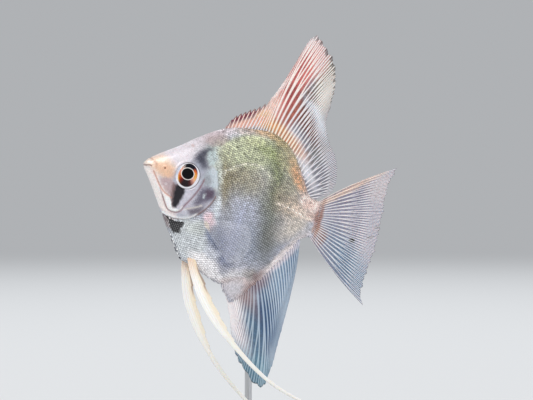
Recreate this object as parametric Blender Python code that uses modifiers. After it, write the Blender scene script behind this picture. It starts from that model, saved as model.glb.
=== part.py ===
"""Freshwater angelfish: a still, life-size display model on a rod stand.

Metres, +Z up. The fish is modelled level, snout at its own origin, tail towards +X and left flank
towards -Y, and an empty then lifts it and tips its head up. The row's origin is the middle of the
underside of the stand's base.
"""
import math

import bmesh
import bpy
from mathutils import Vector

MM = 0.001

# Pose and stand
STANDARD_LENGTH = 60.0 * MM
PITCH = math.radians(18.0)
SNOUT_X = -30.0 * MM
SNOUT_HEIGHT = 108.0 * MM
GAP = 0.3 * MM

# The body, seen from the side and from above: (distance from the snout, value), all in mm
BACK_LINE = [(0.0, 0.9), (3.4, 4.1), (9.0, 8.7), (14.4, 13.6), (20.0, 17.9), (25.0, 20.4), (33.0, 22.3),
             (38.0, 22.6), (44.5, 19.7), (50.5, 13.0), (54.6, 7.4), (57.0, 6.2), (60.0, 6.4)]
BELLY_LINE = [(0.0, -1.3), (2.8, -4.3), (7.4, -10.1), (11.1, -14.8), (15.1, -19.7), (19.8, -25.4),
              (26.3, -27.4), (35.4, -29.8), (40.0, -27.7), (44.6, -24.9), (51.2, -15.8), (55.1, -9.4),
              (57.7, -6.8), (60.0, -6.3)]
MIDDLE_LINE = [(0.0, -0.4), (10.0, -0.4), (25.0, -1.8), (40.0, -1.5), (52.0, -0.4), (60.0, 0.0)]
HALF_WIDTH = [(0.0, 1.1), (2.5, 2.1), (6.0, 3.4), (12.0, 4.7), (20.0, 5.9), (28.0, 6.2), (38.0, 5.3),
              (48.0, 3.7), (55.0, 2.2), (60.0, 1.2)]
# How pinched the section is: 1 is an ellipse, and 2 runs straight up to a sharp ridge
BACK_PINCH = [(0.0, 0.85), (8.0, 0.95), (18.0, 1.15), (26.0, 1.4), (50.0, 1.4), (60.0, 1.0)]
BELLY_PINCH = [(0.0, 0.85), (8.0, 1.1), (16.0, 1.45), (34.0, 1.4), (42.0, 1.5), (52.0, 1.4), (60.0, 1.0)]
BODY_RINGS = 36
BODY_SIDES = 26

# Head
EYE_PLACE = Vector((13.5, 0.0, 0.2)) * MM
EYE_RADIUS = 4.6 * MM
EYE_BULGE = 1.7 * MM
EYE_DEPTH = 3.2 * MM
EYE_OUT = 4.1 * MM
EYE_TURN = math.radians(9.0)
GILL_COVER_THICKNESS = 1.3 * MM
GILL_OPENING = [(20.3, 30.0), (20.0, 18.0), (18.4, 10.5), (21.2, 6.3), (23.4, 1.8), (24.5, -2.2),
                (24.2, -5.1), (23.0, -7.8), (21.2, -10.8), (18.5, -13.4), (15.4, -14.5), (12.0, -14.8),
                (9.6, -14.2), (4.0, -18.0)]
CHEEK_RIDGE = [(8.6, -10.0), (11.9, -12.3), (14.0, -12.4), (15.0, -11.1), (16.5, -7.2), (18.5, -2.8),
               (19.2, 0.8), (18.4, 5.5), (17.6, 10.0)]
JAW_SEAM = [(-4.0, -0.35), (-0.5, -0.35), (1.7, -0.9), (3.3, -2.4), (4.8, -5.4), (6.7, -8.4),
            (7.6, -10.4), (7.4, -16.0)]
STALK_SEAM = [(53.8, 30.0), (54.4, 8.0), (55.3, 3.0), (55.6, 0.0), (55.3, -4.0), (54.2, -10.0),
              (53.4, -30.0)]

# Fins: the root line and the free edge, as (share of the rays from front to rear, x, z), in mm
DORSAL_ROOT = [(0.0, 21.3, 17.0), (0.35, 33.0, 20.9), (0.6, 43.0, 18.6), (0.85, 52.0, 9.0),
               (1.0, 55.9, 5.2)]
DORSAL_EDGE = [(0.0, 21.6, 19.4), (0.06, 23.3, 23.4), (0.16, 26.8, 26.6), (0.27, 31.9, 30.8),
               (0.33, 35.0, 38.4), (0.40, 38.0, 48.6), (0.47, 41.6, 56.6), (0.52, 44.6, 57.8),
               (0.58, 47.9, 53.2), (0.66, 51.7, 47.4), (0.73, 52.6, 40.0), (0.80, 52.8, 32.0),
               (0.87, 56.6, 23.2), (0.93, 60.2, 15.8), (1.0, 57.6, 8.0)]
ANAL_ROOT = [(0.0, 35.0, -28.2), (0.3, 41.5, -24.6), (0.6, 47.5, -19.0), (0.85, 53.0, -10.0),
             (1.0, 55.0, -6.8)]
ANAL_EDGE = [(0.0, 36.0, -30.6), (0.12, 39.2, -34.4), (0.24, 42.3, -40.2), (0.35, 45.3, -46.8),
             (0.44, 51.2, -54.0), (0.5, 58.8, -58.4), (0.56, 60.2, -52.2), (0.68, 59.8, -42.0),
             (0.82, 59.2, -29.5), (0.92, 58.2, -17.5), (1.0, 56.7, -8.6)]
CAUDAL_ROOT = [(0.0, 57.4, 4.7), (0.5, 58.2, -0.2), (1.0, 57.6, -4.9)]
CAUDAL_EDGE = [(0.0, 80.4, 24.6), (0.16, 79.9, 16.6), (0.36, 81.0, 7.8), (0.58, 81.9, -1.6),
               (0.8, 81.7, -10.8), (0.95, 81.5, -18.2), (1.0, 83.4, -22.0)]
SPINES = 12

# Paired fins: (share of the length, x, y, z) down the left one, and (share, half width), in mm
PELVIC_LEFT = [(0.0, 23.4, -1.3, -24.2), (0.08, 26.5, -2.6, -29.3), (0.2, 32.3, -4.2, -36.6),
               (0.36, 42.0, -5.4, -45.1), (0.6, 58.2, -6.0, -54.2), (0.8, 73.0, -5.6, -57.9),
               (1.0, 87.4, -4.8, -58.6)]
PELVIC_RIGHT = [(0.0, 22.1, 1.3, -24.0), (0.08, 24.4, 2.6, -30.0), (0.2, 28.9, 4.0, -38.6),
                (0.4, 39.6, 5.4, -51.4), (0.6, 51.6, 6.0, -60.2), (0.8, 64.0, 5.6, -66.6),
                (1.0, 75.8, 4.8, -70.6)]
PELVIC_HALF_WIDTH = [(0.0, 1.3), (0.08, 1.6), (0.2, 1.75), (0.3, 1.3), (0.45, 0.8), (0.7, 0.55),
                     (1.0, 0.3)]
PECTORAL_ROOT = (Vector((23.4, 0.0, -11.0)) * MM, Vector((24.2, 0.0, -13.8)) * MM)
PECTORAL_LENGTH = 17.5 * MM
PECTORAL_LIFT = math.radians(24.0)
PECTORAL_FAN = (math.radians(8.0), math.radians(-44.0))

# Stand
BASE_LENGTH = 84.0 * MM
BASE_DEPTH = 56.0 * MM
BASE_HEIGHT = 8.0 * MM
BASE_BEVEL = 1.6 * MM
ROD_RADIUS = 1.2 * MM
ROD_PLACE = Vector((7.0, 15.0, 0.0)) * MM
ROD_TOP = 90.0 * MM
ROD_BEND = 7.0 * MM
ROD_END_Y = 1.8 * MM
ROD_SOCKET_DEPTH = 5.0 * MM


def along(knots, share):
    """Read a smooth curve at one share; each knot is (share, value, value...)."""
    last = len(knots) - 1
    if share <= knots[0][0]:
        return knots[0][1:]
    if share >= knots[last][0]:
        return knots[last][1:]
    index = max(i for i in range(last) if knots[i][0] <= share)
    start, end = knots[index], knots[index + 1]
    span = end[0] - start[0]
    t = (share - start[0]) / span
    values = []
    for column in range(1, len(start)):
        slopes = []
        for i in (index, index + 1):
            before, after = knots[max(i - 1, 0)], knots[min(i + 1, last)]
            slopes.append((after[column] - before[column]) / (after[0] - before[0]) * span)
        values.append((2 * t**3 - 3 * t**2 + 1) * start[column] + (t**3 - 2 * t**2 + t) * slopes[0]
                      + (3 * t**2 - 2 * t**3) * end[column] + (t**3 - t**2) * slopes[1])
    return values


def at_length(knots, x):
    """One of the body's lines, in metres, at x metres from the snout."""
    return along(knots, x / MM)[0] * MM


def body_point(x, angle, shrink=0.0):
    """A point of the body's skin: angle 0 is the back, a quarter turn the left flank."""
    middle = at_length(MIDDLE_LINE, x)
    back = math.cos(angle) >= 0.0
    edge = at_length(BACK_LINE if back else BELLY_LINE, x) - (shrink if back else -shrink)
    pinch = along(BACK_PINCH if back else BELLY_PINCH, x / MM)[0]
    width = max(at_length(HALF_WIDTH, x) - shrink, 0.1 * MM)
    side = math.copysign(abs(math.sin(angle)) ** pinch, math.sin(angle))
    return Vector((x, -width * side, middle + (edge - middle) * abs(math.cos(angle))))


def new_material(name, color, roughness=0.45, metallic=0.0):
    material = bpy.data.materials.new(name)
    material.use_nodes = True
    shader = material.node_tree.nodes["Principled BSDF"]
    shader.inputs["Base Color"].default_value = (*color, 1.0)
    shader.inputs["Roughness"].default_value = roughness
    shader.inputs["Metallic"].default_value = metallic
    return material


def add_object(name, bm, collection, parent=None):
    """Put a bmesh into the scene as one named object, its faces outwards, and free it."""
    bmesh.ops.recalc_face_normals(bm, faces=bm.faces)
    if bm.calc_volume(signed=True) < 0.0:
        bmesh.ops.reverse_faces(bm, faces=bm.faces)
    mesh = bpy.data.meshes.new(name)
    bm.to_mesh(mesh)
    bm.free()
    item = bpy.data.objects.new(name, mesh)
    collection.objects.link(item)
    item.parent = parent
    if collection.name == "cutters":
        item.hide_render = True
        item.display_type = "WIRE"
    return item


def cut(item, operation, cutter):
    modifier = item.modifiers.new(operation.lower() + "_" + cutter.name, "BOOLEAN")
    modifier.operation = operation
    modifier.object = cutter


def body_mesh(shrink=0.0):
    """The whole fish without its fins: a sphere's rings laid out along the body."""
    bm = bmesh.new()
    bmesh.ops.create_uvsphere(bm, u_segments=BODY_SIDES, v_segments=BODY_RINGS, radius=1.0)
    for vert in bm.verts:
        share = math.acos(max(-1.0, min(1.0, vert.co.z))) / math.pi
        x = STANDARD_LENGTH * (0.5 - 0.5 * math.cos(math.pi * (0.04 + 0.93 * share)))
        ring_radius = math.hypot(vert.co.x, vert.co.y)
        if ring_radius < 1e-4:
            pole = body_point(x, 0.0, shrink)
            pole.z = at_length(MIDDLE_LINE, x)
            pole.x += shrink if share < 0.5 else -shrink
            vert.co = pole
        else:
            vert.co = body_point(x, math.atan2(vert.co.y, vert.co.x), shrink)
    return bm


def prism(name, outline, collection, parent, grow=0.0):
    """A closed outline in the fish's side view, in mm, cut right through the fish."""
    curve = bpy.data.curves.new(name, "CURVE")
    curve.dimensions = "2D"
    curve.fill_mode = "BOTH"
    curve.extrude = STANDARD_LENGTH / 2
    curve.offset = grow
    spline = curve.splines.new("POLY")
    spline.points.add(len(outline) - 1)
    for point, (x, z) in zip(spline.points, outline):
        point.co = (x * MM, z * MM, 0.0, 1.0)
    spline.use_cyclic_u = True
    flat = bpy.data.objects.new(name + "_outline", curve)
    collection.objects.link(flat)
    mesh = bpy.data.meshes.new_from_object(flat.evaluated_get(bpy.context.evaluated_depsgraph_get()))
    bpy.data.objects.remove(flat)
    bm = bmesh.new()
    bm.from_mesh(mesh)
    bmesh.ops.remove_doubles(bm, verts=bm.verts, dist=0.01 * MM)
    for vert in bm.verts:
        vert.co = Vector((vert.co.x, -vert.co.z, vert.co.y))
    return add_object(name, bm, collection, parent)


def eye_mesh(side, grow=0.0):
    """A ball, flatter outside than inside and turned a little forwards; side is -1 on the left."""
    bm = bmesh.new()
    bmesh.ops.create_uvsphere(bm, u_segments=18, v_segments=8, radius=1.0)
    for vert in bm.verts:
        back, up = vert.co.x * (EYE_RADIUS + grow), vert.co.y * (EYE_RADIUS + grow)
        out = vert.co.z * ((EYE_BULGE if vert.co.z > 0.0 else EYE_DEPTH) + grow)
        vert.co = EYE_PLACE + Vector((back * math.cos(EYE_TURN) - out * math.sin(EYE_TURN),
                                      side * (EYE_OUT + out * math.cos(EYE_TURN)
                                              + back * math.sin(EYE_TURN)), up))
    return bm


def ray_fin(name, root, edge, rays, rows, thickness, bow, collection, parent, spines=0):
    """A fin in the fish's middle plane: rays from the root line to the free edge, webs between."""
    bm = bmesh.new()
    bmesh.ops.create_grid(bm, x_segments=2 * rays, y_segments=rows, size=0.5)
    thick_root, thick_tip = thickness
    weights = {}
    for vert in bm.verts:
        share, rise = vert.co.x + 0.5, vert.co.y + 0.5
        on_ray = round(share * 2 * rays) % 2 == 0
        start = Vector((along(root, share)[0], 0.0, along(root, share)[1])) * MM
        end = Vector((along(edge, share)[0], 0.0, along(edge, share)[1])) * MM
        if not on_ray and share * rays < spines:
            end = start.lerp(end, 0.82)
        sag = (end - start).cross(Vector((0.0, 1.0, 0.0))) * bow * 4.0 * rise * (1.0 - rise)
        vert.co = start.lerp(end, rise) + sag
        web = thick_root + (thick_tip - thick_root) * rise
        weights[vert.index] = web if on_ray else max(0.66 * web, thick_tip)
    fin = add_object(name, bm, collection, parent)
    group = fin.vertex_groups.new(name="thickness")
    for index, weight in weights.items():
        group.add([index], weight / thick_root, "REPLACE")
    solid = fin.modifiers.new("thickness", "SOLIDIFY")
    solid.thickness = thick_root
    solid.offset = 0.0
    solid.vertex_group = "thickness"
    return fin


def pelvic_fin(name, path, collection, parent):
    """A long trailing pelvic fin: a ribbon that narrows to a thread."""
    rows = 26
    bm = bmesh.new()
    bmesh.ops.create_grid(bm, x_segments=3, y_segments=rows, size=0.5)
    for vert in bm.verts:
        across, share = 2.0 * vert.co.x, vert.co.y + 0.5
        here = Vector(along(path, share)) * MM
        ahead = Vector(along(path, min(share + 0.02, 1.0))) * MM
        behind = Vector(along(path, max(share - 0.02, 0.0))) * MM
        sideways = (ahead - behind).cross(Vector((0.0, 1.0, 0.0))).normalized()
        vert.co = here + sideways * across * along(PELVIC_HALF_WIDTH, share)[0] * MM
    fin = add_object(name, bm, collection, parent)
    solid = fin.modifiers.new("thickness", "SOLIDIFY")
    solid.thickness = 0.7 * MM
    solid.offset = 0.0
    return fin


def pectoral_fin(name, side, collection, parent):
    """A short fan that stands off the flank; side is -1 on the left."""
    bm = bmesh.new()
    bmesh.ops.create_grid(bm, x_segments=12, y_segments=4, size=0.5)
    for vert in bm.verts:
        share, rise = vert.co.x + 0.5, vert.co.y + 0.5
        root = PECTORAL_ROOT[0].lerp(PECTORAL_ROOT[1], share)
        fan = PECTORAL_FAN[0] + (PECTORAL_FAN[1] - PECTORAL_FAN[0]) * share
        reach = PECTORAL_LENGTH * rise * (0.72 + 0.28 * math.sin(math.pi * (0.12 + 0.75 * share)))
        flank = at_length(HALF_WIDTH, root.x) - 0.9 * MM
        out = flank + reach * math.sin(PECTORAL_LIFT)
        back = reach * math.cos(PECTORAL_LIFT)
        vert.co = root + Vector((back * math.cos(fan), side * out, back * math.sin(fan)))
    fin = add_object(name, bm, collection, parent)
    solid = fin.modifiers.new("thickness", "SOLIDIFY")
    solid.thickness = 0.55 * MM
    solid.offset = 0.0
    return fin


def stand_rod(collection):
    """A steel rod up from the base beside the fish, bent over into its right flank."""
    curve = bpy.data.curves.new("stand_rod", "CURVE")
    curve.dimensions = "3D"
    curve.bevel_depth = ROD_RADIUS
    curve.bevel_resolution = 4
    curve.use_fill_caps = True
    steps = 8
    route = [Vector((0.0, 0.0, BASE_HEIGHT - ROD_SOCKET_DEPTH + GAP))]
    for step in range(steps + 1):
        turn = 0.5 * math.pi * step / steps
        route.append(Vector((0.0, ROD_BEND * (math.cos(turn) - 1.0),
                             ROD_TOP + ROD_BEND * (math.sin(turn) - 1.0))))
    route.append(Vector((0.0, ROD_END_Y - ROD_PLACE.y, ROD_TOP)))
    spline = curve.splines.new("POLY")
    spline.points.add(len(route) - 1)
    for point, place in zip(spline.points, route):
        point.co = (*(place + ROD_PLACE), 1.0)
    bent = bpy.data.objects.new("stand_rod_route", curve)
    collection.objects.link(bent)
    mesh = bpy.data.meshes.new_from_object(bent.evaluated_get(bpy.context.evaluated_depsgraph_get()))
    bpy.data.objects.remove(bent)
    bm = bmesh.new()
    bm.from_mesh(mesh)
    bmesh.ops.remove_doubles(bm, verts=bm.verts, dist=0.01 * MM)
    return add_object("stand_rod", bm, collection)


def rod_hole(name, start, end, collection):
    """A round cutter with the rod's clearance, from one point to another."""
    bm = bmesh.new()
    bmesh.ops.create_cone(bm, cap_ends=True, segments=16, radius1=ROD_RADIUS + GAP,
                          radius2=ROD_RADIUS + GAP, depth=(end - start).length)
    turn = Vector((0.0, 0.0, 1.0)).rotation_difference(end - start)
    bmesh.ops.rotate(bm, matrix=turn.to_matrix(), verts=bm.verts)
    bmesh.ops.translate(bm, vec=(start + end) / 2, verts=bm.verts)
    return add_object(name, bm, collection)


def stand_base(collection):
    bm = bmesh.new()
    bmesh.ops.create_cube(bm, size=1.0)
    bmesh.ops.scale(bm, vec=(BASE_LENGTH, BASE_DEPTH, BASE_HEIGHT), verts=bm.verts)
    bmesh.ops.translate(bm, vec=(0.0, 0.0, BASE_HEIGHT / 2), verts=bm.verts)
    base = add_object("stand_base", bm, collection)
    bevel = base.modifiers.new("edges", "BEVEL")
    bevel.width = BASE_BEVEL
    bevel.segments = 2
    return base


def build():
    for item in list(bpy.data.objects):
        bpy.data.objects.remove(item)
    parts = bpy.data.collections.new("freshwater_angelfish")
    cutters = bpy.data.collections.new("cutters")
    for collection in (parts, cutters):
        bpy.context.scene.collection.children.link(collection)

    pose = bpy.data.objects.new("fish_pose", None)
    pose.location = (SNOUT_X, 0.0, SNOUT_HEIGHT)
    pose.rotation_euler = (0.0, PITCH, 0.0)
    parts.objects.link(pose)

    flesh = new_material("flesh", (0.55, 0.52, 0.50))
    gill_plate = new_material("gill plate", (0.60, 0.50, 0.52))
    fin_web = new_material("fin web", (0.55, 0.50, 0.52))
    eye_red = new_material("eye", (0.55, 0.16, 0.05), 0.1)
    steel = new_material("brushed steel", (0.62, 0.62, 0.62), 0.35, 1.0)
    wood = new_material("dark wood", (0.07, 0.035, 0.02), 0.4)

    # Cutters: the body one gap larger, and the outlines that part it
    outer_body = add_object("body_clearance", body_mesh(), cutters, pose)
    swell = outer_body.modifiers.new("clearance", "DISPLACE")
    swell.strength = GAP
    swell.mid_level = 0.0
    ahead = [(-8.0, -18.0), (-8.0, 30.0)]
    head_outline = GILL_OPENING + ahead
    jaw_outline = JAW_SEAM + [(-4.0, -16.0)]
    stalk_outline = STALK_SEAM + [(70.0, -30.0), (70.0, 30.0)]
    cover_outline = GILL_OPENING[2:-1] + CHEEK_RIDGE

    head = add_object("head", body_mesh(), parts, pose)
    jaw = add_object("lower_jaw", body_mesh(), parts, pose)
    trunk = add_object("trunk", body_mesh(), parts, pose)
    stalk = add_object("tail_stalk", body_mesh(), parts, pose)
    cut(head, "INTERSECT", prism("head_zone", head_outline, cutters, pose))
    cut(head, "DIFFERENCE", prism("jaw_room", jaw_outline, cutters, pose, GAP))
    cut(jaw, "INTERSECT", prism("jaw_zone", jaw_outline, cutters, pose))
    cut(trunk, "DIFFERENCE", prism("head_room", head_outline, cutters, pose, GAP))
    cut(trunk, "DIFFERENCE", prism("stalk_room", stalk_outline, cutters, pose, GAP))
    cut(stalk, "INTERSECT", prism("stalk_zone", stalk_outline, cutters, pose))
    for item in (head, jaw, trunk, stalk):
        item.data.materials.append(flesh)

    # Gill covers: the body's outer layer inside their outline, each in a pocket of the head
    core = add_object("gill_core", body_mesh(GILL_COVER_THICKNESS), cutters, pose)
    deep_core = add_object("gill_deep_core", body_mesh(GILL_COVER_THICKNESS + GAP), cutters, pose)
    pocket = prism("gill_pocket", cover_outline, cutters, pose, GAP)
    cut(pocket, "DIFFERENCE", deep_core)
    cut(head, "DIFFERENCE", pocket)
    for name, side in (("gill_cover_left", -1.0), ("gill_cover_right", 1.0)):
        cover = add_object(name, body_mesh(), parts, pose)
        half = prism(name + "_zone", cover_outline, cutters, pose)
        half.location.y = side * (STANDARD_LENGTH + GAP) / 2
        cut(cover, "INTERSECT", half)
        cut(cover, "DIFFERENCE", core)
        cover.data.materials.append(gill_plate)

    for name, side in (("left", -1.0), ("right", 1.0)):
        eye = add_object("eye_" + name, eye_mesh(side), parts, pose)
        eye.data.materials.append(eye_red)
        cut(head, "DIFFERENCE", add_object("socket_" + name, eye_mesh(side, GAP), cutters, pose))

    fins = [
        ray_fin("dorsal_fin", DORSAL_ROOT, DORSAL_EDGE, 26, 4, (1.5 * MM, 0.6 * MM), -0.03, parts, pose,
                SPINES),
        ray_fin("anal_fin", ANAL_ROOT, ANAL_EDGE, 22, 4, (1.4 * MM, 0.6 * MM), 0.05, parts, pose, 5),
        ray_fin("caudal_fin", CAUDAL_ROOT, CAUDAL_EDGE, 16, 4, (1.6 * MM, 0.6 * MM), 0.02, parts, pose),
        pelvic_fin("pelvic_fin_left", PELVIC_LEFT, parts, pose),
        pelvic_fin("pelvic_fin_right", PELVIC_RIGHT, parts, pose),
        pectoral_fin("pectoral_fin_left", -1.0, parts, pose),
        pectoral_fin("pectoral_fin_right", 1.0, parts, pose),
    ]
    for fin in fins:
        cut(fin, "DIFFERENCE", outer_body)
        fin.data.materials.append(fin_web)

    stand_rod(parts).data.materials.append(steel)
    base = stand_base(parts)
    base.data.materials.append(wood)
    foot = Vector((ROD_PLACE.x, ROD_PLACE.y, BASE_HEIGHT - ROD_SOCKET_DEPTH))
    cut(base, "DIFFERENCE", rod_hole("base_socket", foot, foot + Vector((0.0, 0.0, BASE_HEIGHT)), cutters))
    tip = Vector((ROD_PLACE.x, ROD_END_Y - GAP, ROD_TOP))
    cut(trunk, "DIFFERENCE", rod_hole("flank_socket", tip, Vector((tip.x, ROD_PLACE.y, tip.z)), cutters))


build()
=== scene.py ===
import math

import bmesh
import bpy
import numpy as np
from mathutils import Matrix, Vector


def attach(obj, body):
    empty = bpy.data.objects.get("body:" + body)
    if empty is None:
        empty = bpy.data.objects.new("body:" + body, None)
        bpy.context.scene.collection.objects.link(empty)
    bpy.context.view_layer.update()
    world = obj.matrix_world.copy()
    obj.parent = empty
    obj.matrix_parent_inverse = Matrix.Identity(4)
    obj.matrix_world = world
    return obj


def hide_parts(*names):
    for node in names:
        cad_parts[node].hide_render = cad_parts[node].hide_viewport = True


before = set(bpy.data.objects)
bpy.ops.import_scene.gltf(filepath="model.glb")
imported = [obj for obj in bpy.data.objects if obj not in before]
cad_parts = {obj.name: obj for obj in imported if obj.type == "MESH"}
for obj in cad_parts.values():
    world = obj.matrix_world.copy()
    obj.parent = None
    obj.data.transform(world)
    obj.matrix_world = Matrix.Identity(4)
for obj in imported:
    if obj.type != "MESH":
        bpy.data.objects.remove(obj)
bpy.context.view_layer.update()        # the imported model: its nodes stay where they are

mm = 0.001
dice = np.random.default_rng(11)
print("frame:", len(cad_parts), "nodes")

# the fish's own side view: mm from the snout towards the tail (s), towards the right (y) and up (h)

pose = {"snout": (-30.0, 0.0, 108.0), "pitch": 18.0}
body = {
    "back": [(0, 0.9), (3.4, 4.1), (9, 8.7), (14.4, 13.6), (20, 17.9), (25, 20.4), (33, 22.3),
             (38, 22.6), (44.5, 19.7), (50.5, 13), (54.6, 7.4), (57, 6.2), (60, 6.4)],
    "belly": [(0, -1.3), (2.8, -4.3), (7.4, -10.1), (11.1, -14.8), (15.1, -19.7), (19.8, -25.4),
              (26.3, -27.4), (35.4, -29.8), (40, -27.7), (44.6, -24.9), (51.2, -15.8), (55.1, -9.4),
              (57.7, -6.8), (60, -6.3)],
    "middle": [(0, -0.4), (10, -0.4), (25, -1.8), (40, -1.5), (52, -0.4), (60, 0)],
    "halfWidth": [(0, 1.1), (2.5, 2.1), (6, 3.4), (12, 4.7), (20, 5.9), (28, 6.2), (38, 5.3),
                  (48, 3.7), (55, 2.1), (58, 1.4), (60, 0.55)],
    "backPinch": [(0, 0.85), (8, 0.95), (18, 1.15), (26, 1.4), (50, 1.4), (60, 1)],
    "bellyPinch": [(0, 0.85), (8, 1.1), (16, 1.45), (34, 1.4), (42, 1.5), (52, 1.4), (60, 1)],
    "coatDepth": [(0, 0.03), (10, 0.06), (18, 0.14), (26, 0.26), (60, 0.26)],
    "snoutRound": 1.1, "snoutTip": -0.25,
    "segments": 340, "rings": 230,
}


def readCurve(knots, at):
    # a smooth curve through the knots; each knot is its place and then its values
    table = np.array(knots, float)
    place, values = table[:, 0], table[:, 1:]
    at = np.clip(np.asarray(at, float), place[0], place[-1])
    last = len(place) - 1
    index = np.clip(np.searchsorted(place, at, side="right") - 1, 0, last - 1)
    before = np.maximum(np.arange(last + 1) - 1, 0)
    after = np.minimum(np.arange(last + 1) + 1, last)
    slope = (values[after] - values[before]) / (place[after] - place[before])[:, None]
    span = place[index + 1] - place[index]
    t = ((at - place[index]) / span)[..., None]
    return ((2 * t**3 - 3 * t**2 + 1) * values[index] + (t**3 - 2 * t**2 + t) * slope[index] * span[..., None]
            + (3 * t**2 - 2 * t**3) * values[index + 1] + (t**3 - t**2) * slope[index + 1] * span[..., None])


def ease(value):
    value = np.clip(value, 0.0, 1.0)
    return value * value * (3.0 - 2.0 * value)


def bell(value, width, middle=0.0):
    return np.exp(-((value - middle) / width) ** 2)


def tapered(share, start, end):
    # 1 along a line, fading to 0 over a share of it at its start and end
    return ease(share / start) * ease((1.0 - share) / end)


def bodyPoints(s, angle, inset=0.0):
    # angle 0 is the back's ridge, a quarter turn the left flank, a half turn the belly's keel
    read = lambda name: readCurve(body[name], s)[..., 0]
    middle = read("middle")
    up = np.cos(angle) >= 0.0
    fromTip = (s - body["snoutTip"]) / body["snoutRound"]
    blunt = np.where(fromTip > 1.0, 1.0, np.sqrt(np.clip(1.0 - (1.0 - fromTip) ** 2, 0.02, 1.0)))
    reach = np.where(up, read("back") - inset - middle, read("belly") + inset - middle) * blunt
    pinch = np.where(up, read("backPinch"), read("bellyPinch"))
    width = np.maximum(read("halfWidth") - inset, 0.1) * blunt
    side = np.sign(np.sin(angle)) * np.abs(np.sin(angle)) ** pinch
    return np.stack([s, -width * side, middle + reach * np.abs(np.cos(angle))], -1)


def bodyNormals(s, angle):
    step = 0.02
    alongBody = bodyPoints(s + step, angle) - bodyPoints(s - step, angle)
    aroundBody = bodyPoints(s, angle + step) - bodyPoints(s, angle - step)
    normal = np.cross(alongBody, aroundBody)
    normal /= np.maximum(np.linalg.norm(normal, axis=-1, keepdims=True), 1e-9)
    outward = bodyPoints(s, angle) * [0.0, 1.0, 1.0]
    outward[..., 2] -= readCurve(body["middle"], s)[..., 0]
    return normal * np.where(np.sum(normal * outward, -1, keepdims=True) < 0.0, -1.0, 1.0)


def toRow(points):
    # from the fish's own millimetres to the frame's metres
    turn = math.radians(pose["pitch"])
    x, y, z = points[..., 0], points[..., 1], points[..., 2]
    turned = np.stack([x * math.cos(turn) + z * math.sin(turn), y, z * math.cos(turn) - x * math.sin(turn)], -1)
    return (turned + np.array(pose["snout"])) * mm


def addMarks(mesh, marks):
    for mark, values in marks.items():
        if values.ndim == 2:
            mesh.attributes.new(mark, "FLOAT_COLOR", "POINT").data.foreach_set("color", values.ravel())
        else:
            mesh.attributes.new(mark, "FLOAT", "POINT").data.foreach_set("value", np.ascontiguousarray(values, float))


def shapedPiece(name, bm, shape, material):
    # moves a primitive's vertices with one function of their places, then welds and closes it
    mesh = bpy.data.meshes.new(name)
    bm.to_mesh(mesh)
    bm.free()
    places = np.zeros(len(mesh.vertices) * 3)
    mesh.vertices.foreach_get("co", places)
    points, marks = shape(places.reshape(-1, 3))
    mesh.vertices.foreach_set("co", toRow(points).ravel())
    addMarks(mesh, marks)
    bm = bmesh.new()
    bm.from_mesh(mesh)
    bmesh.ops.remove_doubles(bm, verts=bm.verts, dist=2e-7)
    bmesh.ops.dissolve_degenerate(bm, edges=bm.edges, dist=1e-8)
    bmesh.ops.recalc_face_normals(bm, faces=bm.faces)
    if bm.calc_volume(signed=True) < 0.0:
        bmesh.ops.reverse_faces(bm, faces=bm.faces)
    for face in bm.faces:
        face.smooth = True
    bm.to_mesh(mesh)
    bm.free()
    piece = bpy.data.objects.new(name, mesh)
    bpy.context.scene.collection.objects.link(piece)
    mesh.materials.append(material)
    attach(piece, "root")
    print("made", name, len(mesh.polygons), "faces")
    return piece


# materials

def linear(hexText):
    parts = [int(hexText[i:i + 2], 16) / 255.0 for i in (0, 2, 4)]
    return (*[c / 12.92 if c <= 0.04045 else ((c + 0.055) / 1.055) ** 2.4 for c in parts], 1.0)


def addNode(tree, kind, inputs=None, output=0, **settings):
    # adds one node with its settings, values and links, and gives back the output that is asked for
    made = tree.nodes.new(kind)
    for name, value in settings.items():
        setattr(made, name, value)
    for name, value in (inputs or {}).items():
        if isinstance(value, bpy.types.NodeSocket):
            tree.links.new(value, made.inputs[name])
        else:
            made.inputs[name].default_value = value
    return made.outputs[output] if made.outputs else made


def newMaterial(name):
    material = bpy.data.materials.new(name)
    material.use_nodes = True
    tree = material.node_tree
    tree.nodes.clear()
    return material, tree


def finish(material, inputs):
    tree = material.node_tree
    addNode(tree, "ShaderNodeOutputMaterial", {"Surface": addNode(tree, "ShaderNodeBsdfPrincipled", inputs)})
    return material


def shadeBy(tree, color, value, low, high, dark, light, cover=1.0):
    # multiplies a colour by a shade that goes from dark to light while the value goes from low to high
    shade = addNode(tree, "ShaderNodeMapRange", {
        "Value": value, "From Min": low, "From Max": high, "To Min": dark, "To Max": light})
    return addNode(tree, "ShaderNodeMix", {0: cover, 6: color, 7: shade}, 2,
                   data_type="RGBA", blend_type="MULTIPLY")


def mottle(tree, color, place, scale, detail, rough, dark, light):
    # clouds of lighter and darker tone
    cloud = addNode(tree, "ShaderNodeTexNoise", {
        "Vector": place, "Scale": scale, "Detail": detail, "Roughness": rough})
    return shadeBy(tree, color, cloud, 0.3, 0.7, dark, light)


def fishPlace(tree, wander=0.0):
    # Object coordinates turned into the fish's own millimetres; wander frays the edges of the markings
    place = addNode(tree, "ShaderNodeMapping", {
        "Vector": addNode(tree, "ShaderNodeTexCoord", output="Object"), "Location": Vector(pose["snout"]) * mm,
        "Rotation": (0.0, math.radians(pose["pitch"]), 0.0), "Scale": (mm, mm, mm)}, vector_type="TEXTURE")
    if wander:
        cloud = addNode(tree, "ShaderNodeTexNoise", {"Vector": place, "Scale": 0.45, "Detail": 4.0}, "Color")
        shift = addNode(tree, "ShaderNodeVectorMath", {0: cloud, 1: (0.5, 0.5, 0.5)}, operation="SUBTRACT")
        place = addNode(tree, "ShaderNodeVectorMath", {0: shift, 1: (wander, 0.0, wander), 2: place},
                        operation="MULTIPLY_ADD")
    return place


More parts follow.
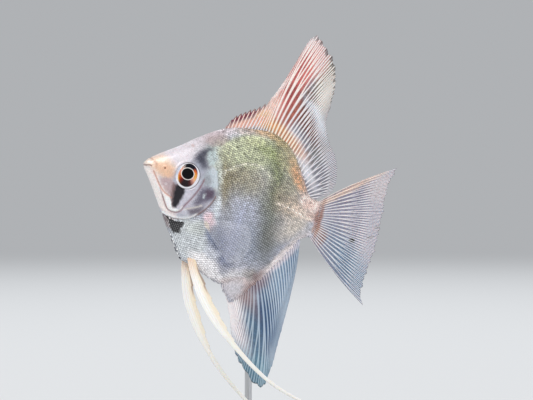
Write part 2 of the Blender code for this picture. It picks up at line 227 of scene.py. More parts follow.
def paintPatches(tree, place, start, patches):
    # each patch: s, h, half length, half height, tilt in degrees, colour, strength, softness of its edge
    color = linear(start)
    for s, h, long, tall, tilt, paint, strength, soft in patches:
        local = addNode(tree, "ShaderNodeMapping", {
            "Vector": place, "Location": (s, 0.0, h), "Rotation": (0.0, -math.radians(tilt), 0.0),
            "Scale": (long, 1000.0, tall)}, vector_type="TEXTURE")
        radius = addNode(tree, "ShaderNodeVectorMath", {0: local}, "Value", operation="LENGTH")
        mask = addNode(tree, "ShaderNodeMapRange", {
            "Value": radius, "From Min": 1.0 - soft, "From Max": 1.0 + soft, "To Min": strength, "To Max": 0.0},
            interpolation_type="SMOOTHSTEP")
        color = addNode(tree, "ShaderNodeMix", {0: mask, 6: color, 7: linear(paint)}, 2, data_type="RGBA")
    return color


flankPatches = [
    (41.2, -22.7, 9.7, 3.6, 4, "C8C7D1", 0.8, 0.7),  # pale belly
    (21, -19.6, 5.5, 8.1, 38, "D3D8DB", 0.95, 0.4),  # breast
    (22.3, -14.8, 3.6, 2.6, 18, "CACFC6", 0.5, 0.6),
    (29.3, -25.4, 6.8, 2.8, -19, "FFFCFE", 1, 0.4),  # white belly behind the pelvic fins
    (38.1, -24, 5.2, 2.6, -2, "CBC9D4", 0.75, 0.7),
    (31.2, -18, 7.8, 2.9, -52, "5E6886", 0.95, 0.7),  # shadow bar behind the pectoral fin
    (27.7, -15.8, 2.6, 1.6, -32, "6F7A94", 0.75, 0.7),
    (34.3, -13, 7.1, 1.6, 90, "B6BAD2", 0.8, 0.8),  # lilac streak
    (40.4, -15.1, 5.2, 5.8, 18, "929AAC", 0.75, 0.8),
    (44.6, -6.9, 9.7, 3.6, 98, "5C6052", 0.85, 1),  # dark bar down the middle
    (45.3, -10.8, 5.2, 2.3, 104, "62645C", 0.6, 1),
    (43.3, 5.5, 4.2, 2.3, 102, "6C6E4E", 0.8, 0.8),
    (31.1, 13.4, 12, 7.1, 18, "ADB18C", 0.95, 0.6),  # olive back
    (24.4, 11.2, 4.9, 4.9, 18, "C3C7A6", 0.7, 0.6),
    (32.3, 17.9, 4.2, 1.9, 8, "CFD2A4", 0.7, 0.7),
    (41.4, 11.7, 11.4, 3.2, 102, "7A8154", 0.92, 0.8),  # green rear of the back
    (37.4, 15.9, 4.5, 1.9, -12, "9CA66A", 0.6, 0.7),
    (29.4, 4.7, 7.1, 3.2, 18, "8A7F60", 0.9, 1),  # brown below the lateral line
    (25.6, 0.4, 1.9, 5.2, 18, "958762", 0.8, 0.9),
    (35.9, 4.1, 5.5, 3.2, 18, "ACA698", 0.7, 1),
    (26, 2.2, 2.6, 8.4, 18, "7C7250", 0.7, 0.9),
    (33.5, 2.7, 4.9, 3.9, 18, "8F8869", 0.5, 0.9),
    (40.8, 0, 2.9, 4.2, 18, "6C6D57", 0.6, 0.9),
    (34.4, -16.3, 2.9, 4.2, -2, "7B81A0", 0.55, 0.9),
    (25.5, -5.7, 1.3, 7.1, 14, "E4EAF0", 0.8, 0.8),
    (22, 5.6, 1.6, 6.5, 18, "DEE4DA", 0.7, 0.8),
    (44.6, 2.6, 3.2, 3.6, 18, "66664A", 0.7, 0.9),
    (29.7, -21.2, 2.3, 1.6, -22, "E6E8F0", 0.7, 0.8),
    (38, -26.4, 4.2, 1.9, 38, "FAF6F8", 0.85, 0.7),
    (43.9, -23.9, 2.6, 1.9, 18, "A6977E", 0.5, 0.8),
    (19.2, 10.5, 1.3, 3.2, 18, "C3CFD0", 0.7, 0.7),
    (22.7, 17.1, 4.2, 1.6, 23, "CFCED8", 0.75, 0.6),
    (28.1, 20.3, 3.9, 1.3, 18, "CDBAB6", 0.7, 0.7),
    (17.9, 15.2, 6.5, 2.3, 40, "DCC9CE", 0.9, 0.6),  # mauve nape
    (8.3, 6.2, 9.7, 4.9, 45, "EFE6EC", 0.95, 0.35),  # forehead
    (16.7, -6.5, 7.1, 5.5, 18, "D6D2DE", 0.85, 0.35),  # cheek and gill cover
    (8.5, -8.2, 9.1, 1.9, -50, "FFF4F2", 0.95, 0.4),  # lower jaw
    (25.1, -11.5, 2.6, 1.5, -52, "F6D2D6", 0.95, 0.7),  # pink root of the pectoral fin
    (24.8, -13.3, 1.6, 0.5, -42, "F6E4CC", 0.9, 0.5),
    (27.2, -13.5, 1.3, 1, 18, "6C7488", 0.7, 0.7),
    (49.4, 1.4, 4.5, 5.8, 28, "B8A690", 0.9, 0.7),  # beige rear flank
    (46.5, 6.9, 2.9, 3.2, 18, "97917A", 0.8, 0.6),
    (48.9, -7.6, 3.2, 3.9, 18, "A9A29A", 0.6, 0.7),
    (40.3, 20.3, 5.5, 1.6, -22, "A8966A", 0.9, 0.6),  # rim under the dorsal fin
    (46.2, 15.7, 3.6, 1.6, -44, "B0A37E", 0.9, 0.6),
    (45.4, 13.1, 7.1, 2.3, -48, "A9A27C", 0.9, 0.8),
    (49.5, 10.7, 5.5, 1.8, -50, "DDA678", 0.92, 0.8),  # orange by the rear of the dorsal fin
    (33.3, 21.7, 4.9, 1.3, -2, "CBA274", 0.8, 0.8),
    (56.2, 4.6, 3.9, 3.6, 18, "F8E2D8", 0.95, 0.5),  # tail stalk
    (57.2, 0.2, 3.2, 1.6, 18, "D8B0A0", 0.8, 0.7),
    (52.9, 0.8, 2.3, 2.3, 18, "E2C8B6", 0.7, 0.6),
    (55.4, 3.7, 1.9, 1.6, 18, "CFA698", 0.6, 0.8),
    (60.3, -3.7, 1.3, 1.6, 18, "B68460", 0.8, 0.7),
    (53.3, -4.5, 5.2, 2.9, 56, "DACEC0", 0.85, 0.8),
    (59.7, -0.1, 5.5, 0.9, 94, "9A6858", 0.85, 0.8),  # brown edge of the tail stalk
    (52.5, -14.4, 9.7, 1.4, 60, "F0E4DE", 0.9, 0.7),  # pale rim along the anal fin
    (46.6, -24.1, 3.9, 1.6, 53, "8C706E", 0.85, 0.8),  # red-brown over the anal fin
    (40.2, -27.1, 5.2, 1.3, 13, "EADAD8", 0.9, 0.5),
    (42.6, -30.1, 5.5, 3.2, -12, "BFACAA", 0.9, 0.6),  # scaled base of the anal fin
    (47.1, -25.7, 4.2, 1.6, 56, "97807E", 0.8, 0.8),
    (46.3, -28.6, 3.6, 2.3, 48, "9C736C", 0.75, 0.9),
    (40.3, -29.5, 2.6, 2.9, -2, "DEDEE6", 0.7, 0.8),
    (53.1, -14.2, 9.7, 1, 60, "F0E4E6", 0.85, 0.5),
]


def markingsGroup():
    # the fish's colours, with a painted shadow bar and painted highlights among them, shared by the skin and its
    # scales: flank patches under the head's painted marks
    group = bpy.data.node_groups.new("angelfish markings", "ShaderNodeTree")
    group.interface.new_socket("Color", in_out="OUTPUT", socket_type="NodeSocketColor")
    place = fishPlace(group, 2.6)
    color = paintPatches(group, place, "B0B3C2", flankPatches)
    color = mottle(group, color, place, 0.6, 3.0, 0.6, 0.92, 1.08)
    paint = addNode(group, "ShaderNodeAttribute", attribute_name="paint")
    cover = paint.node.outputs["Alpha"]
    color = addNode(group, "ShaderNodeMix", {0: cover, 6: color, 7: paint}, 2, data_type="RGBA")
    addNode(group, "NodeGroupOutput", {"Color": color})
    return group


markingsAndPaintedLight = markingsGroup()


def skinMaterial():
    # wet fish skin over bone: soft, slightly see-through, under a thin film of slime
    material, tree = newMaterial("wet fish skin")
    place = fishPlace(tree)
    color = addNode(tree, "ShaderNodeGroup", node_tree=markingsAndPaintedLight)
    color = mottle(tree, color, place, 1.4, 5.0, 0.65, 0.92, 1.07)
    grains = addNode(tree, "ShaderNodeTexVoronoi", {"Vector": place, "Scale": 2.4}, feature="F1")  # 0.4 mm grains
    coarse = addNode(tree, "ShaderNodeAttribute", output="Fac", attribute_name="grain")
    color = shadeBy(tree, color, grains, 0.1, 0.7, 1.14, 0.66, coarse)
    bump = addNode(tree, "ShaderNodeBump", {"Height": grains, "Strength": 0.3, "Distance": 0.08 * mm})
    return finish(material, {
        "Base Color": color, "Roughness": 0.36, "Metallic": 0.05, "IOR": 1.38,
        "Subsurface Weight": 0.12, "Subsurface Radius": (1.0, 0.5, 0.4), "Subsurface Scale": 0.6 * mm,
        "Coat Weight": 0.3, "Coat Roughness": 0.12, "Normal": bump})


def scaleMaterial():
    # bony scales over a silvery layer, each tilted a little differently: pale in the middle and darker at the rim, as
    # a painted highlight and painted shade
    material, tree = newMaterial("silvery fish scales")
    color = addNode(tree, "ShaderNodeGroup", node_tree=markingsAndPaintedLight)
    luck = addNode(tree, "ShaderNodeAttribute", output="Fac", attribute_name="luck")
    shineAndShade = addNode(tree, "ShaderNodeAttribute", output="Fac", attribute_name="shineAndShade")
    height = addNode(tree, "ShaderNodeSeparateXYZ", {"Vector": fishPlace(tree)}, "Z")
    back = addNode(tree, "ShaderNodeMapRange", {"Value": height, "From Min": -11.0, "From Max": 4.0})
    # the random tone and the painted light and shade of the scales are stronger on the back than on the belly
    for value, most, onBelly, onBack in ((luck, 1.0, (0.8, 1.18), (0.6, 1.36)),
                                         (shineAndShade, 0.85, (0.64, 1.42), (0.16, 1.78))):
        soft, strong = [addNode(tree, "ShaderNodeMapRange", {
            "Value": value, "From Max": most, "To Min": dark, "To Max": light}) for dark, light in (onBelly, onBack)]
        shade = addNode(tree, "ShaderNodeMix", {0: back, 6: soft, 7: strong}, 2, data_type="RGBA")
        color = addNode(tree, "ShaderNodeMix", {0: 1.0, 6: color, 7: shade}, 2,
                        data_type="RGBA", blend_type="MULTIPLY")
    # painted highlight: the brightest part of each scale is mixed toward pale grey-white
    gleam = addNode(tree, "ShaderNodeMapRange", {"Value": shineAndShade, "From Min": 0.5, "From Max": 0.85, "To Max": 0.28})
    color = addNode(tree, "ShaderNodeMix", {0: gleam, 6: color, 7: linear("E6E6EA")}, 2, data_type="RGBA")
    return finish(material, {"Base Color": color, "Roughness": 0.36, "Metallic": 0.2, "IOR": 1.45,
                             "Coat Weight": 0.2, "Coat Roughness": 0.15})


skinSurface = skinMaterial()
scaleSurface = scaleMaterial()

# skin: one closed hide from lips to tail, with the head's folds in its own surface

head = {
    "eye": (14, 0), "eyeOpening": (3.95, 4.3), "nostril": (6.4, 0.2), "end": 28,
    "ringPlaces": [(0, -0.24), (0.07, 1.6), (0.74, 26), (1, 59.9)],  # share of the rings and s
    "creases": [("lipFold", 0.35, 0.06), ("upperJaw", 0.28, 0.22), ("gillSeam", 0.3, 0.08),
                ("throatFold", 0.25, 0.1)],  # line, half width and depth
    "gillOpening": [(20, 18), (18.4, 10.5), (21.2, 6.3), (23.4, 1.8), (24.5, -2.2), (24.2, -5.1),
                    (23, -7.8), (21.2, -10.4), (18.5, -12.9), (15.4, -13.9), (12, -13.9), (9.6, -13.2),
                    (7.6, -11.9)],
    "cheekRidge": [(19.3, 1.6), (19.2, -0.4), (18.6, -3), (17.3, -6.5), (15.9, -9.4), (15.2, -11.4),
                   (13.6, -12.3), (11.4, -12), (9.5, -9.9), (8, -7.8), (6.4, -5.9)],
    "gape": [(-1, -0.95), (0.4, -0.7), (1, -0.5), (1.8, -0.3), (2.6, -0.6)],
    "lipFold": [(0.6, 2.2), (1.9, 1.8), (3.4, 0.6), (4, -1.1)],
    "upperJaw": [(3, -1.2), (3.9, -2.5), (5.1, -3.9), (6.8, -5.8), (8.5, -7.1), (10.5, -7.9), (11.6, -8.3)],
    "gillSeam": [(15.9, -10.7), (17.9, -9.5), (19.4, -8.7), (21.4, -7.4)],
    "throatFold": [(7.4, -11.3), (9.4, -12.5), (12.2, -13.1), (15.2, -12.9), (18, -11.8)],
    "lateralLine": [(24, 1.9), (24.8, 5.3), (26.1, 6.5), (28.2, 8.1), (30.2, 9.3), (32, 9.9), (34.6, 10.2),
                    (38, 9.2), (41, 7)],
    "lateralTail": [(43, 0.7), (46.7, 0.7), (49.4, 0.4), (52.1, -0.1), (54.9, -0.6), (58, -1)],
}
# marks and painted highlights on the head: kind, colour, strength, width of its soft edge, then its corners, line or
# centre in mm
headMarksAndHighlights = [
    # snout and lips
    ("area", "FBDCC2", 0.85, 3, [(-0.6, 1), (1.6, 2.8), (4.6, 4.4), (7, 3.4), (9.6, 1.5), (9.4, -1),
        (8.6, -2.8), (5.6, -2.8), (3.4, -1.8), (1, -0.6), (-0.6, -0.4)]),
    ("area", "F2BA90", 0.55, 2.2, [(3.6, 1.4), (6.4, 2), (9, 1.2), (9.8, -0.6), (9.6, -2.4), (7.2, -2.6),
        (5, -1.6), (3.4, -0.2)]),
    ("area", "FBF0E8", 0.6, 0.7, [(-0.3, 0.1), (0.5, 1.2), (1.2, 1.6), (1.8, 0.9), (1.6, 0), (0.8, -0.2)]),
    # jaws
    ("area", "F5EEFA", 0.75, 1.2, [(0.8, -1.6), (3.2, -3), (5, -6), (7, -9), (8.6, -11), (7.2, -11.6),
        (4.6, -7.6), (2.4, -4.8), (0.6, -2.6)]),
    ("area", "FFF6F2", 0.95, 0.8, [(-0.2, -0.9), (2, -1.2), (3.6, -2.6), (6.3, -6), (8.9, -8.8),
        (11, -11.2), (12.4, -12.2), (11, -13), (8.6, -12), (5, -8.4), (2.2, -4.8)]),
    # cheek, and the dark bar under the eye
    ("area", "C6ACAE", 0.85, 0.9, [(5.9, -3.3), (8.6, -2.3), (10.7, -3.2), (11.2, -5.5), (11.3, -7.6),
        (9.9, -7.3), (8.4, -6.3), (6.9, -5.2)]),
    ("area", "6A4A48", 0.85, 1.5, [(10.2, -3.6), (12.4, -3.4), (12.6, -6.6), (12.8, -10.6), (11.8, -10.6),
        (11, -8.2), (10.4, -5.8)]),
    ("area", "150E1C", 1, 1, [(11.4, -3.8), (12.8, -3.4), (14.4, -3.8), (14.7, -5.9), (14.3, -7.8),
        (14, -9.6), (13.6, -10.8), (12.3, -10.8), (11.8, -8.4), (11.4, -6)]),
    # painted highlights: white below the bar and at its lower end
    ("area", "FFFFFF", 0.95, 0.3, [(9.2, -8.3), (10.4, -8), (11.6, -9.4), (12.2, -10.9), (11.4, -11.2),
        (10.2, -10.2)]),
    ("area", "FFFFFF", 0.95, 0.25, [(11.7, -11.2), (12.9, -11.2), (14.9, -10.9), (15.3, -10.2),
        (15.2, -11.2), (14.1, -12), (12.7, -11.9)]),
    # gill cover, with a pale blue-white upper part that is partly its own tone and partly a painted highlight
    ("area", "D4DEE6", 0.85, 1.2, [(18.6, 0.6), (19.6, 3.6), (20.6, 5.4), (22.6, 4.4), (23.8, 1.4),
        (24.3, -1), (21, -1.2), (19.2, -0.8)]),
    ("area", "989AA2", 0.7, 1.5, [(18.7, 0), (19.3, 2.6), (20.7, 2.4), (21.9, 0.4), (21.2, -1), (19.2, -1.2)]),
    ("area", "625C70", 0.9, 2.4, [(19.1, -2.2), (20.8, -1.6), (23.1, -1.5), (24.5, -2.3), (24, -4.7),
        (22.4, -6.2), (19.9, -8.2), (18.1, -8.3), (18.5, -5.7)]),
    ("area", "5A3F52", 0.6, 1.4, [(20.9, -2.2), (23.4, -2), (23.7, -4.2), (21.9, -5), (20.9, -4)]),
    # painted highlight: a small pale glint on the gill cover
    ("area", "D6DEE2", 0.8, 0.5, [(20.3, -4.2), (20.9, -3.7), (21.1, -5.2), (20.5, -5.5)]),
    ("area", "665C68", 0.88, 1.8, [(17, -10.2), (19.6, -8.7), (21.8, -7.6), (21.9, -9), (20.6, -10.9),
        (18.6, -11.8)]),
    ("area", "C6BECC", 0.7, 1, [(15.8, -8.4), (17, -8), (18, -8.8), (16.2, -10.2), (15.6, -9.8)]),
    # dark bar behind the eye, and the nape
    ("area", "4A495C", 0.8, 1.7, [(14.1, 6.2), (14.8, 8.1), (16, 9.5), (18, 11), (19.2, 10.8), (18.1, 9.2),
        (17.6, 7.4), (18.5, 6), (19.3, 4.7), (17.7, 3.6), (16.2, 4.9), (14.9, 5.3)]),
    ("area", "2C2C40", 0.55, 1.1, [(15, 6.6), (15.6, 8.4), (17.2, 9.6), (17, 7.2), (17.6, 5.4), (16.2, 5.6)]),
    ("area", "C4B0AE", 0.6, 1.2, [(16.2, 12.4), (17, 14.2), (20.9, 16.4), (23.4, 15.6), (21.4, 12.6),
        (18.7, 11.4)]),
    ("area", "D6E4E6", 0.75, 1.2, [(17.9, 9.1), (19.7, 10.3), (21.4, 8.3), (21, 5.6), (19.3, 5.4),
        (18.2, 7.1)]),
    # dark throat
    ("area", "86685A", 0.6, 0.6, [(10.2, -13.6), (12.2, -14.2), (12.8, -15.4), (14.2, -17.6), (12.9, -16.9),
        (11.2, -15.2)]),
    ("area", "060509", 1, 0.3, [(11.6, -14.2), (13.6, -14.6), (17.4, -14.2), (17.2, -15.8), (17.2, -17.8),
        (15.4, -18.2), (13.8, -16.7), (12.6, -15.2)]),
    # folds, seams and rims of the head
    ("line", "8C5A62", 0.85, 0.24, "cheekRidge"),
    # painted highlight: a white line along the lower corner of the cheek
    ("line", "FFFFFF", 0.8, 0.24, [(9.9, -9.2), (11.6, -11.5), (13.5, -11.8), (14.9, -11), (15.5, -9.4)]),
    ("line", "D5957E", 0.8, 0.24, "upperJaw"),
    # painted highlight: a white line below the upper jaw
    ("line", "FFFFFF", 0.6, 0.25, [(4.6, -4.2), (6.4, -6.4), (8.2, -7.8), (10, -8.6)]),
    ("line", "EFE6DC", 0.75, 0.3, "gillSeam"),
    ("line", "C08C72", 0.5, 0.3, "lipFold"),
    ("line", "8E5F4E", 0.7, 0.2, "gape"),
    ("line", "94634E", 0.85, 0.24, [(24.5, -3), (24.3, -4.6), (23.1, -7.5), (21.6, -9.8), (19.8, -11.9)]),
    ("line", "FFFFFF", 0.85, 0.3, [(21, -10.2), (18.3, -12.7), (15.3, -13.7), (12, -13.7), (9.8, -13)]),
    # lateral line
    ("line", "F2EDDC", 0.6, 0.34, "lateralLine"),
    ("line", "FBEADC", 0.85, 0.34, "lateralTail"),
    # nostril and pores
    ("spot", "7B4E42", 0.85, 0.26, (6.4, 0.2)),
    ("spot", "FBF3F3", 0.8, 0.35, (8.2, -4.5)),
    ("spot", "8A6A78", 0.7, 0.2, (8.2, -4.5)),
    ("spot", "C99A92", 0.5, 0.5, (12.8, 9.9)),
]
for step in range(8):  # toothed keel of the breast, white scale tips over dark gaps
    keelPlace = (14.6 + 0.78 * step, -18.9 - 0.93 * step)
    headMarksAndHighlights.append(("spot", "2A2A3C", 0.85, 0.3, keelPlace))
    headMarksAndHighlights.append(("spot", "FFFFFF", 0.9, 0.26, (keelPlace[0] + 0.45, keelPlace[1] - 0.4)))


def nearLine(knots, s, h):
    # distance to a smooth line, which side of it, and how far along it
    route = readCurve([(i, *knot) for i, knot in enumerate(knots)], np.linspace(0, len(knots) - 1, 36))
    start, run = route[:-1], np.diff(route, axis=0)
    best, side, share = np.full(s.shape, 1e9), np.zeros(s.shape), np.zeros(s.shape)
    for i in range(len(run)):
        toS, toH = s - start[i, 0], h - start[i, 1]
        t = np.clip((toS * run[i, 0] + toH * run[i, 1]) / (run[i] @ run[i]), 0.0, 1.0)
        gapS, gapH = toS - t * run[i, 0], toH - t * run[i, 1]
        gap = np.hypot(gapS, gapH)
        closer = gap < best
        best = np.where(closer, gap, best)
        side = np.where(closer, np.sign(run[i, 0] * toH - run[i, 1] * toS), side)
        share = np.where(closer, (i + t) / len(run), share)
    return best, side, share


def nearOutline(corners, s, h):
    # distance to a closed outline, below 0 inside it
    corners = np.array(corners)
    best, inside = np.full(s.shape, 1e9), np.zeros(s.shape, bool)
    for start, end in zip(corners, np.roll(corners, -1, axis=0)):
        run = end - start
        toS, toH = s - start[0], h - start[1]
        t = np.clip((toS * run[0] + toH * run[1]) / (run @ run), 0.0, 1.0)
        best = np.minimum(best, np.hypot(toS - t * run[0], toH - t * run[1]))
        crosses = ((start[1] > h) != (end[1] > h))
        where = start[0] + (h - start[1]) * run[0] / (run[1] if run[1] else 1e-9)
        inside ^= crosses & (s < where)
    return np.where(inside, -best, best)


def paintHead(s, h):
    # lays the head's marks and painted highlights over each other; the last column says how far they cover the body's
    # colours
    paint = np.zeros((*s.shape, 4))
    frayS = s + 0.09 * np.sin(3.1 * h + 3.0 * np.sin(2.3 * s)) + 0.04 * np.sin(7.7 * s + 5.3 * h)
    frayH = h + 0.09 * np.sin(3.7 * s + 2.6 * np.sin(1.9 * h)) + 0.04 * np.sin(6.9 * h - 5.1 * s)
    for kind, hexText, strength, fade, place in headMarksAndHighlights:
        if kind == "area":
            mask = ease(0.5 - nearOutline(place, frayS, frayH) / fade)
        elif kind == "line":
            gap, side, share = nearLine(head[place] if isinstance(place, str) else place, s, h)
            mask = bell(gap, fade) * tapered(share, 0.08, 0.08)
        else:
            mask = ease(1.5 - np.hypot(s - place[0], h - place[1]) / fade)
        mask = (mask * strength)[..., None]
        cover = paint[..., 3:] + mask * (1.0 - paint[..., 3:])
        paint[..., :3] += (np.array(linear(hexText)[:3]) - paint[..., :3]) * mask / np.maximum(cover, 1e-6)
        paint[..., 3:] = cover
    return paint


def eyeDistance(s, h):
    # distance outside the eye's opening
    wide, tall = head["eyeOpening"]
    return (np.hypot((s - head["eye"][0]) / wide, (h - head["eye"][1]) / tall) - 1.0) * tall


def headRelief(s, h):
    # how far the head's skin stands out from the plain body, in mm
    gap, side, share = nearLine(head["gape"], s, h)
    mouth = ease((1.0 - share) / 0.15)
    lift = -0.26 * bell(gap, 0.16) * mouth
    lift += 0.07 * bell(gap, 0.35, 0.55) * mouth  # lips
    for name, width, depth in head["creases"]:
        gap, side, share = nearLine(head[name], s, h)
        ends = tapered(share, 0.15, 0.15)
        lift -= depth * bell(gap, width) * ends
        lift += 0.5 * depth * bell(gap, width, 2.0 * width) * ends
    gap, side, share = nearLine(head["cheekRidge"], s, h)
    ends = tapered(share, 0.12, 0.2)
    lift -= 0.24 * bell(gap, 0.24) * ends
    lift += 0.2 * bell(gap, 0.45, 0.65) * ends * (side < 0)
    gap, side, share = nearLine(head["gillOpening"], s, h)
    ends = ease((share - 0.14) / 0.1) * ease((1.0 - share) / 0.1)
    inside = side < 0
    lift += 0.26 * np.exp(-gap / 1.3) * ends * inside
    lift -= 0.24 * bell(gap, 0.4) * ends * ~inside
    away = eyeDistance(s, h)
    lift -= 1.1 * ease(-away / 0.5)
    lift += 0.16 * bell(away, 0.3, 0.4)  # rim of the socket
    pit = np.hypot(s - head["nostril"][0], h - head["nostril"][1])
    lift += 0.12 * bell(pit, 0.25, 0.6) - 0.4 * bell(pit, 0.3)
    return lift


def skinShape(ball):
    s = readCurve(head["ringPlaces"], np.arccos(np.clip(ball[:, 2], -1.0, 1.0)) / math.pi)[:, 0]
    angle = np.arctan2(ball[:, 1], ball[:, 0])
    points = bodyPoints(s, angle, readCurve(body["coatDepth"], s)[:, 0])
    front = s < head["end"]
    lift, paint = np.zeros(len(s)), np.zeros((len(s), 4))
    lift[front] = headRelief(points[front, 0], points[front, 2])
    paint[front] = paintHead(points[front, 0], points[front, 2])
    grain = 0.35 + 0.65 * ease((points[:, 0] - 11.0) / 5.0) * ease((points[:, 2] - 3.0) / 5.0)  # coarser on the nape
    pole = np.hypot(ball[:, 0], ball[:, 1]) < 1e-4
    points = points + bodyNormals(s, angle) * np.where(pole, 0.0, lift)[:, None]
    points[pole, 1] = 0.0
    points[pole, 2] = readCurve(body["middle"], s[pole])[:, 0]
    return points, {"paint": paint, "grain": grain}


bm = bmesh.new()
bmesh.ops.create_uvsphere(bm, u_segments=body["segments"], v_segments=body["rings"], radius=1.0)
skin = shapedPiece("skin", bm, skinShape, skinSurface)
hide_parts("head", "lower_jaw", "gill_cover_left", "gill_cover_right", "trunk", "tail_stalk")

# scales: thin domed plates in rows, each rooted in the skin and lying back over the next

scaleRows = {
    "size": [(14, 0.6), (20, 0.68), (26, 0.78), (40, 0.8), (52, 0.7), (60, 0.56)],
    "headSize": [(6, 0.3), (12, 0.34), (20, 0.42), (26, 0.5)], "headRise": 0.05, "headContrast": 0.35,
    "sheathSize": 0.52, "sheathOut": 0.4,
    "length": 1.75, "width": 1.18, "thickness": 0.03, "dome": 0.03, "rise": 0.17, "sink": 0.03,
    "segments": 10, "tiltJitter": 0.06, "uvPatch": 0.003,
    "rowPitch": 0.9, "rooted": 0.35,  # from row to row, and the share of a plate that lies before its root
}


def scalePlate():
    # one plate, root at x 0 and free edge at x 1, as arrays
    bm = bmesh.new()
    bmesh.ops.create_circle(bm, cap_ends=True, cap_tris=True, segments=scaleRows["segments"], radius=0.5)
    bmesh.ops.translate(bm, vec=(0.22, 0.0, 0.0), verts=[v for v in bm.verts if len(v.link_edges) > 3])
    bmesh.ops.translate(bm, vec=(0.5, 0.0, 0.0), verts=bm.verts)
    bmesh.ops.solidify(bm, geom=bm.faces[:], thickness=scaleRows["thickness"])
    bmesh.ops.recalc_face_normals(bm, faces=bm.faces)
    points = np.array([v.co for v in bm.verts])
    bm.verts.index_update()
    faces = [[v.index for v in f.verts] for f in bm.faces]
    bm.free()
    points[:, 2] -= points[:, 2].min()
    upper = [min(points[i, 2] for i in face) > 0.5 * scaleRows["thickness"] for face in faces]
    rim = np.clip(np.hypot(points[:, 0] - 0.5, points[:, 1]) / 0.5, 0.0, 1.0)
    points[:, 2] += scaleRows["dome"] * (1.0 - rim**2)
    # painted light on each plate: a highlight on the free edge and in the middle, painted shade toward the covered
    # root and the sides
    shineAndShade = 0.08 + 0.7 * ease((points[:, 0] - 0.36) / 0.5) - 0.2 * np.abs(2.0 * points[:, 1])  # lit free edge
    shineAndShade = np.clip(np.where(rim < 0.6, 0.85, shineAndShade), 0.0, 1.0)
    return points, faces, upper, shineAndShade


plate = scalePlate()


def unit(vectors):
    return vectors / np.linalg.norm(vectors, axis=1, keepdims=True)


def arcLength(points):
    return np.concatenate([[0.0], np.cumsum(np.linalg.norm(np.diff(points, axis=0), axis=1))])


def scaleCoat(name, roots, alongs, outs, sizes, rootPlaces, paint, rise, contrast=1.0):
    # lays one plate on every root; rootPlaces is where each root lies on the skin's unwrap
    points, faces, upper, shineAndShade = plate
    count, corners = len(roots), len(points)
    across = unit(np.cross(outs, alongs))
    alongs = np.cross(across, outs)
    size, rises = sizes[:, None, None], np.broadcast_to(rise, count)[:, None, None]
    contrasts = np.broadcast_to(contrast, count)
    laid = (roots[:, None, :]
            + alongs[:, None, :] * (points[None, :, 0, None] - scaleRows["rooted"]) * size * scaleRows["length"]
            + across[:, None, :] * points[None, :, 1, None] * size * scaleRows["width"]
            + outs[:, None, :] * ((points[None, :, 2, None] + rises * points[None, :, 0, None]) * size
                                  - scaleRows["sink"]))
    mesh = bpy.data.meshes.new(name)
    faceLengths = np.array([len(face) for face in faces])
    template = np.concatenate([np.array(face) for face in faces])
    indices = (np.arange(count)[:, None] * corners + template[None, :]).ravel()
    totals = np.tile(faceLengths, count)
    mesh.vertices.add(count * corners)
    mesh.vertices.foreach_set("co", toRow(laid.reshape(-1, 3)).ravel())
    mesh.loops.add(len(indices))
    mesh.loops.foreach_set("vertex_index", indices.astype(np.int32))
    mesh.polygons.add(len(totals))
    mesh.polygons.foreach_set("loop_start", np.concatenate([[0], np.cumsum(totals)[:-1]]).astype(np.int32))
    mesh.polygons.foreach_set("use_smooth", np.tile(upper, count))
    mesh.update(calc_edges=True)
    spots = rootPlaces[:, None, :] + (points[None, :, :2] - [0.5, 0.0]) * scaleRows["uvPatch"]
    mesh.uv_layers.new(name="OFBake").data.foreach_set("uv", spots.reshape(-1, 2)[indices].ravel())
    addMarks(mesh, {"luck": np.repeat(0.5 + (dice.random(count) - 0.5) * contrasts, corners),
                    "shineAndShade": (0.34 + np.outer(contrasts, shineAndShade - 0.34)).ravel(),
                    "paint": np.repeat(paint, corners, axis=0)})
    piece = bpy.data.objects.new(name, mesh)
    bpy.context.scene.collection.objects.link(piece)
    mesh.materials.append(scaleSurface)
    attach(piece, "root")
    print("made", name, count, "scales,", int(np.sum(faceLengths - 2)) * count, "triangles")


def rowsOfRoots(start, end, sizes):
    # rows run along the flank, from its middle line up and down, and the outline cuts them off
    roots, s, column = [], start, 0
    angles = np.linspace(0.0, math.pi, 400)
    while s < end:
        size = float(readCurve(scaleRows[sizes], [s])[0, 0])
        ring = bodyPoints(np.full(400, s), angles)
        arc = arcLength(ring)
        middleArc = np.interp(math.pi / 2, angles, arc)
        for row in range(-int(middleArc / size) - 1, int((arc[-1] - middleArc) / size) + 2):
            place = middleArc + (row + 0.5 * (column % 2)) * size
            if 0.1 < place < arc[-1] - 0.1:
                roots.append((s, np.interp(place, arc, angles), size, place / 60.0))
        s += size * scaleRows["rowPitch"]
        column += 1
    roots = np.array(roots)
    return roots, bodyPoints(roots[:, 0], roots[:, 1], readCurve(body["coatDepth"], roots[:, 0])[:, 0])


def layScales(name, roots, points, rise, contrast):
    # lays a coat on the left flank and then its mirror image on the right one
    s, angle, size, unwrap = roots.T
    paint = paintHead(points[:, 0], points[:, 2])
    places = np.stack([(s - 8.0) / 53.0, unwrap], 1)
    for flank, turn in (("Left", 1.0), ("Right", -1.0)):
        outs = bodyNormals(s, angle * turn)
        behind = bodyPoints(s + 0.3, angle * turn) - bodyPoints(s - 0.3, angle * turn)
        outs = unit(outs + dice.normal(0.0, scaleRows["tiltJitter"], outs.shape))
        scaleCoat(name % flank, points * [1.0, turn, 1.0], unit(behind), outs, size, places, paint, rise, contrast)


